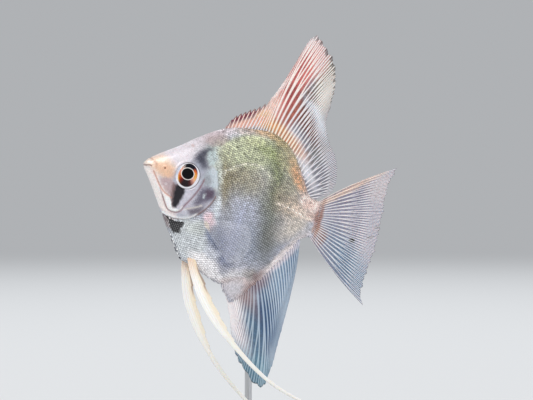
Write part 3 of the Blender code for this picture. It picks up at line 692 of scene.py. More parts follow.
def layFlankScales():
    roots, points = rowsOfRoots(9.0, 59.3, "size")
    at, up = points[:, 0], points[:, 2]
    gap, side, share = nearLine(head["gillOpening"], at, up)
    grown = ease(gap / np.where(up > 5.0, 4.0, 1.5))  # scales start small and flat behind the head
    rise = scaleRows["headRise"] + (scaleRows["rise"] - scaleRows["headRise"]) * grown
    contrast = scaleRows["headContrast"] + (1.0 - scaleRows["headContrast"]) * grown
    for half, inHalf in (("Front", at < 36.0), ("Rear", at >= 36.0)):
        kept = (side > 0) & (gap > 0.3) & (at > 11.0) & inHalf
        layScales("scales%s" + half, roots[kept], points[kept], rise[kept], contrast[kept])


def layHeadScales():
    roots, points = rowsOfRoots(8.0, 25.0, "headSize")
    at, up = points[:, 0], points[:, 2]
    points[:, 1] -= headRelief(at, up) * 0.9
    gap, side, share = nearLine(head["gillOpening"], at, up)
    kept = (side < 0) & (gap > 0.6) & (eyeDistance(at, up) > 1.0)
    for line in ("cheekRidge", "upperJaw", "gillSeam"):
        kept &= nearLine(head[line], at, up)[0] > 0.45
    behindCheek = nearLine(head["cheekRidge"], at, up)[1] > 0
    kept &= (up > 5.4) & (at > 11.5) | (at > 15.4) & behindCheek  # the snout and cheek are bare
    layScales("headScales%s", roots[kept], points[kept], scaleRows["headRise"], scaleRows["headContrast"])


layFlankScales()
layHeadScales()

# fins: root and edge as share, s and h; split, bow and ray width by share; patches of colour on web and bone

finForm = {
    "columns": 640, "rows": 66,
    "web": 0.24, "webThins": 0.18, "ray": 0.2, "rayThins": 0.13,  # half thickness at the root, and its loss
    "notch": 0.02, "spineNotch": 0.16, "uneven": 0.03, "wave": 0.14,
}
fins = {
    "dorsal": {
        "root": [(0, 21.3, 17), (0.35, 33, 20.9), (0.6, 43, 18.6), (0.85, 52, 9), (1, 55.9, 5.2)],
        "edge": [(0, 21.6, 19.4), (0.05, 23.3, 23.2), (0.14, 26.8, 26.6), (0.24, 31, 30),
                 (0.29, 33.2, 33.4), (0.32, 35, 38.4), (0.35, 37.2, 46.8), (0.38, 38.9, 54),
                 (0.41, 40.8, 57.4), (0.44, 43.6, 57.2), (0.48, 47, 53.8), (0.52, 50.8, 50),
                 (0.56, 52.1, 46.2), (0.61, 52.7, 42.2), (0.66, 52.9, 37.4), (0.71, 53, 31.7),
                 (0.77, 56, 25.9), (0.82, 58.8, 22.5), (0.87, 61, 18.6), (0.92, 62.2, 13.6),
                 (0.96, 61.4, 9.6), (1, 58.4, 6.6)],
        "bow": [(0, 0), (0.34, 0), (0.42, 0.035), (0.8, 0.025), (1, 0)],
        "spines": 9,
        "rayWidth": [(0, 0.3), (0.3, 0.34), (0.4, 0.42), (0.5, 0.36), (0.7, 0.28), (1, 0.2)],
        "split": [(0, 0.6), (0.3, 0.44), (0.42, 0.38), (0.55, 0.28), (1, 0.26)], "webShade": 0.92,
        "sheath": [(0, -9), (1, -9)],  # below 0: no scales run onto it
        "count": [(0, 0), (0.29, 9), (1, 37)], "darkTips": 0.75,
        "web": ("8E8C96", [
            (57.8, 17.2, 7.1, 3.6, 98, "84838E", 0.9, 0.6),
            (50, 16, 8.4, 1.6, -48, "E8E8EE", 0.85, 0.6),
            (53.5, 24.7, 7.8, 3.2, 88, "7F8280", 0.85, 0.6),
            (49, 43.2, 9.7, 3.9, 96, "877A6A", 0.95, 0.5),
            (48.4, 32, 7.8, 2.4, -50, "C9D4E2", 0.95, 0.5),  # pale band
            (39.3, 41.3, 14.9, 3.9, 76, "E07C74", 0.95, 0.4),  # pink-red front
            (38.5, 33.1, 8.4, 1.6, 76, "BE5254", 0.8, 0.7),
            (45.2, 30.9, 10.4, 2.8, -46, "6C3B33", 0.97, 0.6),  # brown bar
            (45.4, 37.8, 3.2, 1.6, -32, "7A584A", 0.85, 0.7),
            (40, 30.5, 5.5, 2.6, 78, "CE8072", 0.9, 0.6),
            (35.1, 37.1, 5.8, 0.7, 68, "FBE6E4", 0.9, 0.5),  # pale leading edge
            (38.5, 48.3, 7.1, 0.6, 77, "F7CFCB", 0.9, 0.5),
            (46, 20.8, 5.8, 1.9, -44, "DCD2D8", 0.9, 0.5),
            (40.9, 22.6, 9.1, 2.3, -26, "CC8A5E", 0.9, 0.6),  # orange base
            (34.1, 30.3, 4.2, 2.3, 68, "F6D2C4", 0.9, 0.7),
            (32.1, 25.8, 3.2, 2.3, 48, "F6CDA6", 0.95, 0.6),
            (34.7, 24.3, 4.9, 1.3, 6, "E6A166", 0.85, 0.6),
            (41.1, 29.5, 3.6, 2.3, 78, "A85A48", 0.8, 0.7),
            (39.8, 48.4, 7.8, 1.8, 76, "B64E4F", 0.85, 0.7),
            (39.3, 34.8, 3.9, 1.9, 76, "B04C4E", 0.7, 0.7),
            (45.3, 48.9, 5.2, 2.3, 88, "DFA39B", 0.8, 0.6),
            (41.6, 19.1, 7.8, 1, -32, "A88B5C", 0.8, 0.6),
            (25.7, 26.1, 8.4, 2.6, 42, "7E2F40", 0.98, 0.3),  # spiny front
            (28.6, 22.8, 8.1, 1.4, 32, "EDB29E", 0.95, 0.5),
        ]),
        "bone": ("ECE9EC", [
            (39, 41.2, 15.6, 4.5, 76, "FFF1EA", 0.95, 0.4),
            (40.6, 22.2, 9.7, 2.9, -30, "FFF0DC", 0.95, 0.5),
            (26, 25.2, 9.1, 3.2, 42, "FBDCD0", 0.95, 0.4),
            (55.4, 19.1, 8.4, 5.8, 88, "DEDBE2", 0.8, 0.5),
            (49.5, 42.7, 9.7, 4.2, 96, "F6F0EA", 0.9, 0.5),
        ]),
    },
    "anal": {
        "root": [(0, 35, -28.2), (0.3, 41.5, -24.6), (0.6, 47.5, -19), (0.85, 53, -10), (1, 55, -6.8)],
        "edge": [(0, 36, -30.6), (0.12, 39.2, -34.4), (0.24, 42.3, -40.2), (0.35, 45.3, -46.8),
                 (0.44, 51.2, -54), (0.5, 58.8, -58.4), (0.56, 60.2, -52.2), (0.68, 59.8, -42),
                 (0.82, 59.2, -29.5), (0.92, 58.2, -17.5), (1, 56.7, -8.6)],
        "bow": [(0, 0.05), (1, 0.05)],
        "spines": 6,
        "rayWidth": [(0, 0.26), (0.5, 0.36), (1, 0.28)],
        "split": [(0, 0.42), (1, 0.32)], "webShade": 0.9,
        "sheath": [(0, 5), (0.12, 6.6), (0.3, 5.4), (0.55, 2.2), (1, 0.4)],
        "count": [(0, 0), (1, 36)], "darkTips": 0,
        "web": ("6F86A2", [
            (53.9, -20.8, 11.7, 3.6, -57, "7F97B2", 0.9, 0.5),
            (53.4, -35.6, 11.7, 3.9, -54, "38587F", 0.95, 0.6),  # blue middle
            (55.4, -53.3, 9.1, 4.9, -42, "628CA2", 0.95, 0.6),  # teal tip
            (43.6, -37.3, 13, 3.2, -56, "D9CFD6", 0.95, 0.5),  # pinkish front
            (42.5, -29.8, 5.8, 3.2, -12, "CFC4C8", 0.9, 0.6),  # scaled base
            (52.5, -15.4, 9.7, 1.3, 60, "D3C9D2", 0.8, 0.6),
            (47.3, -26.3, 4.5, 1.9, 58, "7B6874", 0.9, 0.8),
            (46.2, -32.7, 5.2, 1.9, -44, "9A746C", 0.85, 0.9),
            (50, -40, 7.8, 2.6, -58, "567690", 0.85, 0.8),
        ]),
        "bone": ("CBD7E3", [
            (43.6, -37.3, 13.6, 3.9, -56, "FFF8F8", 0.95, 0.5),
            (47.2, -26, 4.5, 2.3, 56, "B5A0A8", 0.9, 0.8),
            (46.1, -32.4, 5.2, 1.9, -44, "C0A09C", 0.8, 0.9),
            (50, -40, 7.8, 2.6, -58, "A6BBCB", 0.8, 0.8),
            (54.5, -36.6, 10.4, 3.6, -54, "A6B9CE", 0.8, 0.7),  # blue middle
            (52.5, -15.4, 9.7, 1.6, 60, "EFE4EA", 0.8, 0.6),
            (55.2, -52.7, 9.1, 4.9, -42, "A6C2D0", 0.85, 0.6),
        ]),
    },
    "caudal": {
        "root": [(0, 57.4, 4.7), (0.5, 58.2, -0.2), (1, 57.6, -4.9)],
        "edge": [(0, 80.4, 24.6), (0.16, 79.9, 16.6), (0.36, 81, 7.8), (0.58, 81.9, -1.6),
                 (0.8, 81.7, -10.8), (0.95, 81.5, -18.2), (1, 83.4, -22)],
        "bow": [(0, 0.03), (0.5, 0), (1, -0.03)],
        "spines": 0,
        "rayWidth": [(0, 0.18), (0.5, 0.18), (1, 0.22)],
        "split": [(0, 0.3), (1, 0.34)], "webShade": 0.95,
        "sheath": [(0, 0), (0.5, 0.2), (1, 1.2)], "count": [(0, 0), (1, 22)], "darkTips": 0,
        "web": ("9997A8", [
            (75.3, -11.6, 13.6, 5.2, -40, "6A819A", 0.9, 0.7),  # grey-blue lower half
            (68.7, 10.7, 9.1, 1.9, 40, "8A8698", 0.85, 0.6),
            (67.3, 13, 15.6, 0.8, 45, "CDB2A6", 0.9, 0.6),
            (76.7, 17.1, 4.5, 5.2, 18, "BDB2B4", 0.7, 0.7),  # warm rear tip
            (60.5, 0.5, 6.2, 0.7, 92, "8E5E50", 0.9, 0.8),  # brown at the root
            (61.3, -3.4, 1.3, 1.6, -2, "B0805E", 0.7, 0.8),
            (63.2, -5.1, 2.6, 1.3, 78, "8A5C4C", 0.8, 0.7),
            (73.1, -2.8, 1, 0.6, 18, "100E16", 1, 0.35),  # specks
            (79.9, 3.8, 1, 0.3, 30, "15141C", 1, 0.4),
            (78.8, 0.1, 1.1, 0.3, 21, "15141C", 1, 0.4),
            (82.2, -3.7, 0.4, 1, 18, "20202A", 1, 0.5),
            (81.2, 3, 0.8, 0.2, 18, "2A2830", 0.8, 0.5),
        ]),
        "bone": ("EDE8EA", [
            (75.3, -11.6, 14.3, 5.8, -40, "D3DBE4", 0.8, 0.7),
            (66.9, 13.2, 16.2, 1.5, 45, "FFE9DA", 0.95, 0.5),  # cream upper edge
            (60.5, 0.5, 5.8, 0.7, 92, "BE9484", 0.85, 0.8),
        ]),
    },
}


def finPlace(fin, share, rise):
    start, end = readCurve(fin["root"], share), readCurve(fin["edge"], share)
    run = end - start
    bow = readCurve(fin["bow"], share) * (4.0 * rise * (1.0 - rise))[..., None]
    sag = np.stack([-run[..., 1], run[..., 0]], -1) * bow
    return start + run * rise[..., None] + sag


def rayCells(fin, share):
    # spines stand further apart than soft rays; whole numbers are rays
    table = np.array(fin["count"])
    return np.interp(share, table[:, 0], table[:, 1])


def rayRidge(fin, share, rise):
    # 1 on a ray and 0 on the web; soft rays part in two and then in four on their way out
    cell = rayCells(fin, share)
    number = np.round(cell)
    offset = cell - number
    step = 0.004
    near, far = np.maximum(share - step, 0.0), np.minimum(share + step, 1.0)
    pitch = (np.linalg.norm(finPlace(fin, far, rise) - finPlace(fin, near, rise), axis=-1)
             / np.maximum(rayCells(fin, far) - rayCells(fin, near), 1e-6))
    soft = number >= fin["spines"]
    split = readCurve(fin["split"], share)[..., 0]
    first = 0.25 * ease((rise - split) / 0.4) * soft
    second = 0.12 * ease((rise - split - 0.3) / 0.28) * soft
    width = readCurve(fin["rayWidth"], share)[..., 0] * (1.0 - 0.3 * rise) * (1.0 - 1.2 * first) / pitch
    width = np.clip(width, 0.05, 0.24)
    ridges = [bell(offset - one * first - two * second, width) for one in (-1, 1) for two in (-1, 1)]
    return np.max(ridges, axis=0), offset


def finMaterial(name, fin):
    # fin web is thin skin between bony rays, so the rays read as pale lines
    material, tree = newMaterial(name + " fin web and rays")
    place = fishPlace(tree, 1.2)
    web = paintPatches(tree, place, *fin["web"])
    bone = paintPatches(tree, place, *fin["bone"])
    web = mottle(tree, web, place, 1.2, 4.0, 0.5, 0.8, 1.15)
    web = mottle(tree, web, place, 3.2, 2.0, 0.5, 0.84 * fin["webShade"], 1.16 * fin["webShade"])
    ridge = addNode(tree, "ShaderNodeAttribute", output="Fac", attribute_name="ray")
    ray = addNode(tree, "ShaderNodeMapRange", {"Value": ridge, "From Min": 0.1, "From Max": 0.75})
    color = addNode(tree, "ShaderNodeMix", {0: ray, 6: web, 7: bone}, 2, data_type="RGBA")
    tip = addNode(tree, "ShaderNodeAttribute", output="Fac", attribute_name="tip")
    color = addNode(tree, "ShaderNodeMix", {0: tip, 6: color, 7: linear("1A1014")}, 2, data_type="RGBA")
    return finish(material, {
        "Base Color": color, "Roughness": 0.42, "IOR": 1.4, "Subsurface Weight": 0.2,
        "Subsurface Radius": (1.0, 0.7, 0.6), "Subsurface Scale": 0.5 * mm, "Coat Weight": 0.2,
        "Coat Roughness": 0.2})


def sheet(columns, rows):
    bm = bmesh.new()
    bmesh.ops.create_grid(bm, x_segments=2 * columns, y_segments=rows, size=0.5)
    return bm


def readSheet(grid):
    # the sheet is folded once into two faces: share runs across each, rise from root to tip, face is -1 or 1
    u, rise = (grid[:, 0] + 0.5) * 2.0, grid[:, 1] + 0.5
    first = u <= 1.0
    return np.clip(np.where(first, u, 2.0 - u), 0.0, 1.0), rise, np.where(first, -1.0, 1.0)


def rayFin(name, fin):
    last = int(fin["count"][-1][1])
    lengths = 1.0 - finForm["uneven"] * dice.random(last + 1)

    def shape(grid):
        share, rise, face = readSheet(grid)
        cell = rayCells(fin, share)
        ridge, offset = rayRidge(fin, share, rise)
        spiny = ease(fin["spines"] + 0.5 - cell)
        notch = (finForm["notch"] + finForm["spineNotch"] * spiny) * np.abs(2.0 * offset) ** 1.5
        place = finPlace(fin, share, rise * (np.interp(cell, np.arange(last + 1), lengths) - notch))
        rim = np.minimum(cell, last - cell)
        web = finForm["web"] - finForm["webThins"] * rise
        thick = web + ridge * (finForm["ray"] - finForm["rayThins"] * rise)
        thick = thick * np.sqrt(np.clip(rim / 0.12, 0.0, 1.0)) * np.sqrt(np.clip((1.0 - rise) / 0.01, 0.0, 1.0))
        thick = np.where(rise < 1e-6, 0.0, thick)
        wave = finForm["wave"] * rise**2 * np.sin(9.0 * share + 4.0 * rise)
        points = np.stack([place[:, 0], wave + face * thick, place[:, 1]], -1)
        tip = spiny * ease((rise - 0.86) / 0.06) * ease((ridge - 0.2) / 0.4)
        dash = ease((rise - 0.955) / 0.02) * ease((share - 0.38) / 0.04) * ease((0.72 - share) / 0.1)
        dash = dash * (np.sin(cell * 8.7 + 3.0 * np.sin(share * 61.0)) > 0.1)
        return points, {"ray": ridge, "rise": rise, "tip": np.maximum(tip, 0.85 * dash) * fin["darkTips"]}

    bm = sheet(finForm["columns"], finForm["rows"])
    piece = shapedPiece(name + "Fin", bm, shape, finMaterial(name + "Fin", fin))
    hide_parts(name + "_fin")


for name, fin in fins.items():
    rayFin(name, fin)


def laySheathScales():
    # small scales run off the body onto the bases of the fins
    size, spots, alongs = scaleRows["sheathSize"], [], []
    for fin in fins.values():
        shares = np.linspace(0.05, 0.95, 500)
        arc = arcLength(finPlace(fin, shares, np.zeros(500)))
        for row in range(24):
            depth = row * size * scaleRows["rowPitch"]
            share = np.interp(np.arange(0.5 * (row % 2) * size, arc[-1], size), arc, shares)
            reach = np.linalg.norm(finPlace(fin, share, np.ones(len(share)))
                                   - finPlace(fin, share, np.zeros(len(share))), axis=1)
            limit = readCurve(fin["sheath"], share)[:, 0] + 1.4 - 0.9 * dice.random(len(share))
            limit = np.minimum(limit, 0.82 * reach)
            share, reach = share[depth < limit], reach[depth < limit]
            rise = depth / reach
            here = finPlace(fin, share, rise)
            spots.append(here)
            alongs.append(finPlace(fin, share, rise + 0.01) - here)
    spots, alongs = np.concatenate(spots), unit(np.concatenate(alongs))
    count = len(spots)
    lying = np.stack([alongs[:, 0], np.zeros(count), alongs[:, 1]], 1)
    for flank, turn in (("Left", 1.0), ("Right", -1.0)):
        roots = np.stack([spots[:, 0], np.full(count, -turn * scaleRows["sheathOut"]), spots[:, 1]], 1)
        outs = unit(np.tile([0.0, -turn, 0.0], (count, 1)) + dice.normal(0.0, 0.05, (count, 3)))
        scaleCoat("finBaseScales" + flank, roots, lying, outs, np.full(count, size), (spots + [-20.0, 45.0]) / 80.0,
                  np.zeros((count, 4)), scaleRows["rise"])


laySheathScales()

# paired fins

pelvic = {
    "left": [(0, 23.4, -1.3, -24.2), (0.08, 26.5, -2.6, -29.3), (0.2, 32.3, -4.2, -36.6),
             (0.36, 42, -5.4, -45.1), (0.6, 58.2, -6, -54.2), (0.8, 73, -5.6, -57.9),
             (1, 87.4, -4.8, -58.6)],
    "right": [(0, 22.1, 1.3, -24), (0.08, 24.4, 2.6, -30), (0.2, 28.9, 4, -38.6),
              (0.4, 39.6, 5.4, -51.4), (0.6, 51.6, 6, -60.2), (0.8, 64, 5.6, -66.6),
              (1, 75.8, 4.8, -70.6)],
    "halfWidth": [(0, 1.2), (0.06, 1.5), (0.14, 1.8), (0.25, 1.75), (0.33, 1.3), (0.38, 0.9), (0.5, 0.72),
                  (0.7, 0.5), (1, 0.1)],
    "teeth": [0.13, 0.2, 0.27, 0.33, 0.39], "toothDepth": 0.38,
    "rays": 5, "columns": 8, "rows": 240,
}
pectoral = {"root": ((23.4, -11), (24.2, -13.8)), "length": 17.5, "lift": 24, "fan": (8, -44),
            "rays": 12, "columns": 8, "rows": 44}


def pelvicMaterial():
    # pelvic fin: a thick cream ray with thin web, a little orange where it leaves the belly
    material, tree = newMaterial("pelvic fin rays")
    marks = {name: addNode(tree, "ShaderNodeAttribute", output="Fac", attribute_name=name)
             for name in ("rise", "ray", "cream", "dusk")}
    root = addNode(tree, "ShaderNodeMapRange", {
        "Value": marks["rise"], "From Max": 0.1, "To Min": 0.75, "To Max": 0.0})
    bone = addNode(tree, "ShaderNodeMix", {0: root, 6: linear("FFFFFF"), 7: linear("F3CFA6")}, 2, data_type="RGBA")
    web = addNode(tree, "ShaderNodeMix", {0: root, 6: linear("FCF8F0"), 7: linear("DDAE8C")}, 2, data_type="RGBA")
    color = addNode(tree, "ShaderNodeMix", {0: marks["ray"], 6: web, 7: bone}, 2, data_type="RGBA")
    for name, hexText, most in (("cream", "F8E0BC", 0.6), ("dusk", "8F7468", 0.75)):
        cover = addNode(tree, "ShaderNodeMapRange", {"Value": marks[name], "To Max": most})
        color = addNode(tree, "ShaderNodeMix", {0: cover, 6: color, 7: linear(hexText)}, 2, data_type="RGBA")
    return finish(material, {
        "Base Color": color, "Roughness": 0.4, "IOR": 1.4, "Subsurface Weight": 0.25,
        "Subsurface Radius": (1.0, 0.8, 0.6), "Subsurface Scale": 0.5 * mm, "Coat Weight": 0.2})


def pectoralMaterial():
    # pectoral fin: almost clear web, so only its fine rays show against the flank
    material, tree = newMaterial("clear pectoral fin")
    ray = addNode(tree, "ShaderNodeAttribute", output="Fac", attribute_name="ray")
    color = addNode(tree, "ShaderNodeMix", {0: ray, 6: linear("C9CCD6"), 7: linear("F1EEF2")}, 2, data_type="RGBA")
    return finish(material, {"Base Color": color, "Roughness": 0.3, "IOR": 1.35, "Alpha": 0.13})


def closeEnds(thick, rise):
    return np.where((rise < 1e-6) | (rise > 1.0 - 1e-6), 0.0, thick)


def pelvicFin(side):
    path, rays = pelvic[side], pelvic["rays"]

    def shape(grid):
        share, rise, face = readSheet(grid)
        ahead = readCurve(path, np.minimum(rise + 0.01, 1.0)) - readCurve(path, np.maximum(rise - 0.01, 0.0))
        sideways = unit(np.cross(ahead, [0.0, 1.0, 0.0]))
        half = readCurve(pelvic["halfWidth"], rise)[:, 0]
        across = 2.0 * share - 1.0
        for tooth in pelvic["teeth"]:  # the rear edge steps in where a branch of the ray ends
            swell = ease((rise - tooth + 0.06) / 0.06) * (rise < tooth)
            half = half + pelvic["toothDepth"] * swell * ease(across)
        ridge = np.abs(np.cos(math.pi * share * rays)) ** 3 * ease((0.5 - rise) / 0.3)
        thick = np.sqrt(np.clip(1.0 - across**2, 0.0, 1.0)) * (0.14 + 0.08 * ridge + 0.1 * (1.0 - rise))
        thick = closeEnds(thick * np.minimum(half / 0.4, 1.0), rise)
        points = readCurve(path, rise) + sideways * (across * half)[:, None]
        points[:, 1] += face * thick
        cream = ease((across + 0.2) / 0.9) * ease((0.55 - rise) / 0.35)
        dusk = ease((across - 0.55) / 0.25) * ease((0.2 - rise) / 0.08) * ease((rise - 0.02) / 0.05)
        return points, {"ray": ridge, "rise": rise, "cream": cream, "dusk": dusk}

    bm = sheet(rays * pelvic["columns"], pelvic["rows"])
    piece = shapedPiece("pelvicFin" + side.capitalize(), bm, shape, pelvicSurface)
    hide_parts("pelvic_fin_" + side)


def pectoralFin(side, sign):
    rays, lift = pectoral["rays"], math.radians(pectoral["lift"])
    top, low = np.array(pectoral["root"])

    def shape(grid):
        share, rise, face = readSheet(grid)
        root = top + (low - top) * share[:, None]
        fan = np.radians(pectoral["fan"][0] + (pectoral["fan"][1] - pectoral["fan"][0]) * share)
        cell = share * rays
        offset = cell - np.round(cell)
        ridge = bell(offset, 0.2 - 0.08 * rise)
        length = pectoral["length"] * (0.72 + 0.28 * np.sin(math.pi * (0.12 + 0.75 * share)))
        reach = length * rise * (1.0 - 0.03 * np.abs(2.0 * offset) * rise)
        rim = np.minimum(share, 1.0 - share) * rays
        thick = (0.08 + 0.1 * ridge) * (1.0 - 0.6 * rise) * np.sqrt(np.clip(rim / 0.15, 0.0, 1.0))
        flank = readCurve(body["halfWidth"], root[:, 0])[:, 0] - 0.9
        out = flank + reach * math.sin(lift) - face * closeEnds(thick, rise)
        back = reach * math.cos(lift)
        points = np.stack([root[:, 0] + back * np.cos(fan), sign * out, root[:, 1] + back * np.sin(fan)], -1)
        return points, {"ray": ridge, "rise": rise}

    bm = sheet(rays * pectoral["columns"], pectoral["rows"])
    piece = shapedPiece("pectoralFin" + side.capitalize(), bm, shape, pectoralSurface)
    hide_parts("pectoral_fin_" + side)


pelvicSurface = pelvicMaterial()
pectoralSurface = pectoralMaterial()
for side, sign in (("left", -1.0), ("right", 1.0)):
    pelvicFin(side)
    pectoralFin(side, sign)

# eyes

eye = {
    "wide": 4.24, "tall": 4.58, "bulge": 1.62, "depth": 3.1, "out": 4.12, "turn": 9,
    "pupil": (1.95, 1.8), "pupilPlace": (-0.15, 0.62), "whiteRing": 0.19,
    # iris colours round the clock: degrees from the tailward side, anticlockwise on the left eye
    "iris": [(-180, "EFA48C"), (-158, "E98A4C"), (-140, "C4501E"), (-124, "7C1E14"), (-104, "24080F"),
             (-76, "1C0A12"), (-58, "4A1A1E"), (-42, "C98A82"), (-26, "F2B49A"), (-8, "F0894A"), (18, "EE7030"),
             (38, "E4642C"), (50, "7A3224"), (60, "0E0A16"), (92, "0A0A1A"), (118, "0C0A12"), (130, "5A3428"),
             (148, "B8775A"), (164, "EC9C84"), (180, "EFA48C")],
    "irisEdge": [(-180, 3.25), (-150, 3.3), (-120, 3.5), (-90, 3.62), (-60, 3.5), (-30, 3.2), (0, 3.3),
                 (40, 3.7), (90, 4.02), (130, 3.75), (160, 3.3), (180, 3.25)],
    "outline": 4.16, "segments": 120,
    # warm and dark glints in the iris: distance out, its spread, place round the clock, its spread, strength, colour
    "glints": [(2.75, 0.35, -4, 26, 0.8, "F8C765"), (3.3, 0.25, -140, 16, 0.9, "F7C24C"),
               (3.55, 0.28, 40, 30, 0.85, "1A2038")],
}


def overlay(color, mask, hexText):
    return color + (np.array(linear(hexText)) - color) * mask[:, None]


def paintEye(back, up):
    shiftBack, shiftUp = back - eye["pupilPlace"][0], up - eye["pupilPlace"][1]
    ring = np.hypot(back * eye["tall"] / eye["wide"], up)
    clock = np.degrees(np.arctan2(shiftUp, shiftBack))
    places = np.array([place for place, hexText in eye["iris"]], float)
    tones = np.array([linear(hexText) for place, hexText in eye["iris"]])
    color = np.stack([np.interp(clock, places, tones[:, i]) for i in range(4)], 1)
    fibres = 0.9 + 0.16 * np.sin(clock * 0.7 + 2.0 * np.sin(clock * 0.23)) * np.sin(ring * 4.0)
    color[:, :3] *= fibres[:, None]
    for out, outSpread, way, waySpread, strength, hexText in eye["glints"]:
        color = overlay(color, strength * bell(ring, outSpread, out) * bell(clock, waySpread, way), hexText)
    edge = readCurve(eye["irisEdge"], clock)[:, 0]
    color = overlay(color, ease((ring - edge) / 0.22 + 0.5), "F3F1F6")
    color = overlay(color, 0.7 * ease((ring - edge) / 0.2) * bell(np.abs(clock), 20.0, 170.0), "B9C4DA")
    color = overlay(color, ease((ring - eye["outline"]) / 0.2 + 0.5), "45282C")
    wide, tall = eye["pupil"]
    pupil = np.hypot(shiftBack / wide, shiftUp / tall) * tall
    color = overlay(color, ease((tall + eye["whiteRing"] - pupil) / 0.14 + 0.5), "FBF4EE")
    return overlay(color, ease((tall - pupil) / 0.14 + 0.5), "030205")


def eyeMaterial():
    # a clear wet cornea over a flat iris, so its colours lie under one sharp reflection
    material, tree = newMaterial("eye under a clear cornea")
    color = addNode(tree, "ShaderNodeAttribute", output="Color", attribute_name="paint")
    color = mottle(tree, color, fishPlace(tree), 3.0, 3.0, 0.5, 0.85, 1.1)
    return finish(material, {"Base Color": color, "Roughness": 0.5, "Specular IOR Level": 0.0, "Coat Weight": 1.0,
                             "Coat Roughness": 0.04, "Coat IOR": 1.336})


def eyeBall(side, sign):
    def shape(ball):
        back, up = ball[:, 0] * eye["wide"], ball[:, 1] * eye["tall"]
        out = ball[:, 2] * np.where(ball[:, 2] > 0.0, eye["bulge"], eye["depth"])
        turn = math.radians(eye["turn"])
        points = np.stack([head["eye"][0] + back * math.cos(turn) - out * math.sin(turn),
                           sign * (eye["out"] + out * math.cos(turn) + back * math.sin(turn)),
                           head["eye"][1] + up], -1)
        color = paintEye(back, up)
        color[out < 0.0] = linear("45282C")
        return points, {"paint": color}

    bm = bmesh.new()
    bmesh.ops.create_uvsphere(bm, u_segments=eye["segments"], v_segments=eye["segments"], radius=1.0)
    piece = shapedPiece("eyeBall" + side.capitalize(), bm, shape, eyeSurface)
    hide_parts("eye_" + side)


eyeSurface = eyeMaterial()
for side, sign in (("left", -1.0), ("right", 1.0)):
    eyeBall(side, sign)

# stand

def woodMaterial():
    # dark stained beech under satin varnish: long grain along the base, fine pores
    material, tree = newMaterial("dark stained beech")
    spot = addNode(tree, "ShaderNodeTexCoord", output="Object")
    place = addNode(tree, "ShaderNodeMapping", {"Vector": spot, "Scale": (60.0, 900.0, 900.0)})
    grain = addNode(tree, "ShaderNodeTexNoise", {"Vector": place, "Scale": 1.0, "Detail": 6.0})
    tone = addNode(tree, "ShaderNodeMapRange", {"Value": grain, "From Min": 0.35, "From Max": 0.65})
    color = addNode(tree, "ShaderNodeMix", {0: tone, 6: linear("22130D"), 7: linear("4A2C1C")}, 2, data_type="RGBA")
    bump = addNode(tree, "ShaderNodeBump", {"Height": grain, "Strength": 0.2, "Distance": 0.05 * mm})
    return finish(material, {"Base Color": color, "Roughness": 0.38, "Coat Weight": 0.4, "Coat Roughness": 0.2,
                             "Normal": bump})


def steelMaterial():
    # brushed stainless steel: fine scratches round the rod blur its highlights
    material, tree = newMaterial("brushed stainless steel")
    spot = addNode(tree, "ShaderNodeTexCoord", output="Object")
    place = addNode(tree, "ShaderNodeMapping", {"Vector": spot, "Scale": (400.0, 400.0, 9000.0)})
    brush = addNode(tree, "ShaderNodeTexNoise", {"Vector": place, "Scale": 1.0, "Detail": 2.0})
    rough = addNode(tree, "ShaderNodeMapRange", {"Value": brush, "To Min": 0.22, "To Max": 0.42})
    return finish(material, {"Base Color": linear("C9CACC"), "Metallic": 1.0, "Roughness": rough})


for nodeName, surface in (("stand_base", woodMaterial()), ("stand_rod", steelMaterial())):
    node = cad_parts[nodeName]
    node.data.materials.clear()
    node.data.materials.append(surface)
print("dressed the stand")

# floor, light and camera

backdrop = {
    "color": "E9ECF0", "strength": 0.53, "radius": 6.0, "fade": (0.5, 3.0), "aim": (0.0, 0.0, 0.1),
    # place, size in metres, power in watts and tint of the key, fill and rim lamps
    "lamps": [((-1.3, -1.9, 2.2), 1.1, 50.0, (1.0, 0.985, 0.96)), ((1.9, -1.6, 0.9), 1.4, 10.0, (0.93, 0.96, 1.0)),
              ((0.5, 2.0, 2.1), 1.2, 26.0, (0.96, 0.98, 1.0))],
}


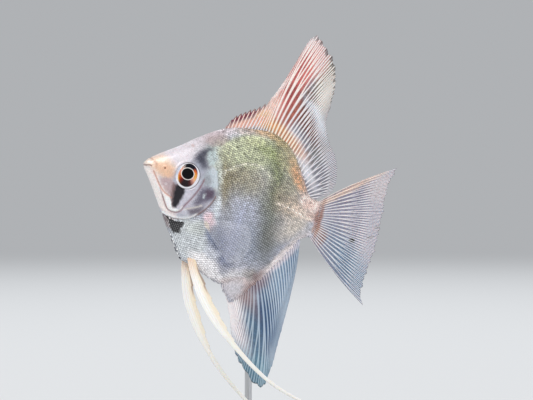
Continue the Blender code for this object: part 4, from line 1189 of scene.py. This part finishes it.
def studio():
    bm = bmesh.new()
    bmesh.ops.create_circle(bm, cap_ends=True, segments=96, radius=backdrop["radius"])
    mesh = bpy.data.meshes.new("studioFloor")
    bm.to_mesh(mesh)
    bm.free()
    floor = bpy.data.objects.new("studioFloor", mesh)
    bpy.context.scene.collection.objects.link(floor)
    material, tree = newMaterial("pale matt floor")
    spot = addNode(tree, "ShaderNodeTexCoord", output="Object")
    reach = addNode(tree, "ShaderNodeVectorMath", {0: spot}, "Value", operation="LENGTH")
    near, end = backdrop["fade"]
    far = addNode(tree, "ShaderNodeMapRange", {"Value": reach, "From Min": near, "From Max": end},
                  interpolation_type="SMOOTHSTEP")
    color = addNode(tree, "ShaderNodeMix", {0: far, 6: linear("E4E5E6"), 7: linear("000000")}, 2, data_type="RGBA")
    horizon = linear(backdrop["color"])
    glow = addNode(tree, "ShaderNodeMix", {0: far, 6: linear("000000"), 7: horizon}, 2, data_type="RGBA")
    mesh.materials.append(finish(material, {
        "Base Color": color, "Roughness": 0.9, "Emission Color": glow, "Emission Strength": backdrop["strength"],
        "Specular IOR Level": 0.0}))
    world = bpy.data.worlds.new("studio")
    world.use_nodes = True
    sky = world.node_tree.nodes["Background"].inputs
    sky["Color"].default_value, sky["Strength"].default_value = horizon, backdrop["strength"]
    bpy.context.scene.world = world
    for place, size, power, tint in backdrop["lamps"]:
        lamp = bpy.data.lights.new("softbox", "AREA")
        lamp.size, lamp.energy, lamp.color = size, power, tint
        lampObject = bpy.data.objects.new("softbox", lamp)
        lampObject.location = place
        aim = Vector(backdrop["aim"]) - Vector(place)
        lampObject.rotation_euler = aim.to_track_quat("-Z", "Y").to_euler()
        bpy.context.scene.collection.objects.link(lampObject)


def viewCamera():
    settings = {"target": (0.010, 0.0, 0.096), "azimuth": -12.0, "distance": 0.6, "lens": 124.7}
    target = Vector(settings["target"])
    turn = math.radians(settings["azimuth"])
    camera = bpy.data.objects.new("camera", bpy.data.cameras.new("camera"))
    camera.data.lens = settings["lens"]
    camera.location = target + Vector((math.sin(turn), -math.cos(turn), 0.0)) * settings["distance"]
    camera.rotation_euler = (target - camera.location).to_track_quat("-Z", "Y").to_euler()
    camera.data.clip_start = 0.01
    bpy.context.scene.collection.objects.link(camera)
    bpy.context.scene.camera = camera


studio()
viewCamera()
print("studio and camera ready")
bpy.context.scene.view_settings.view_transform = "Standard"
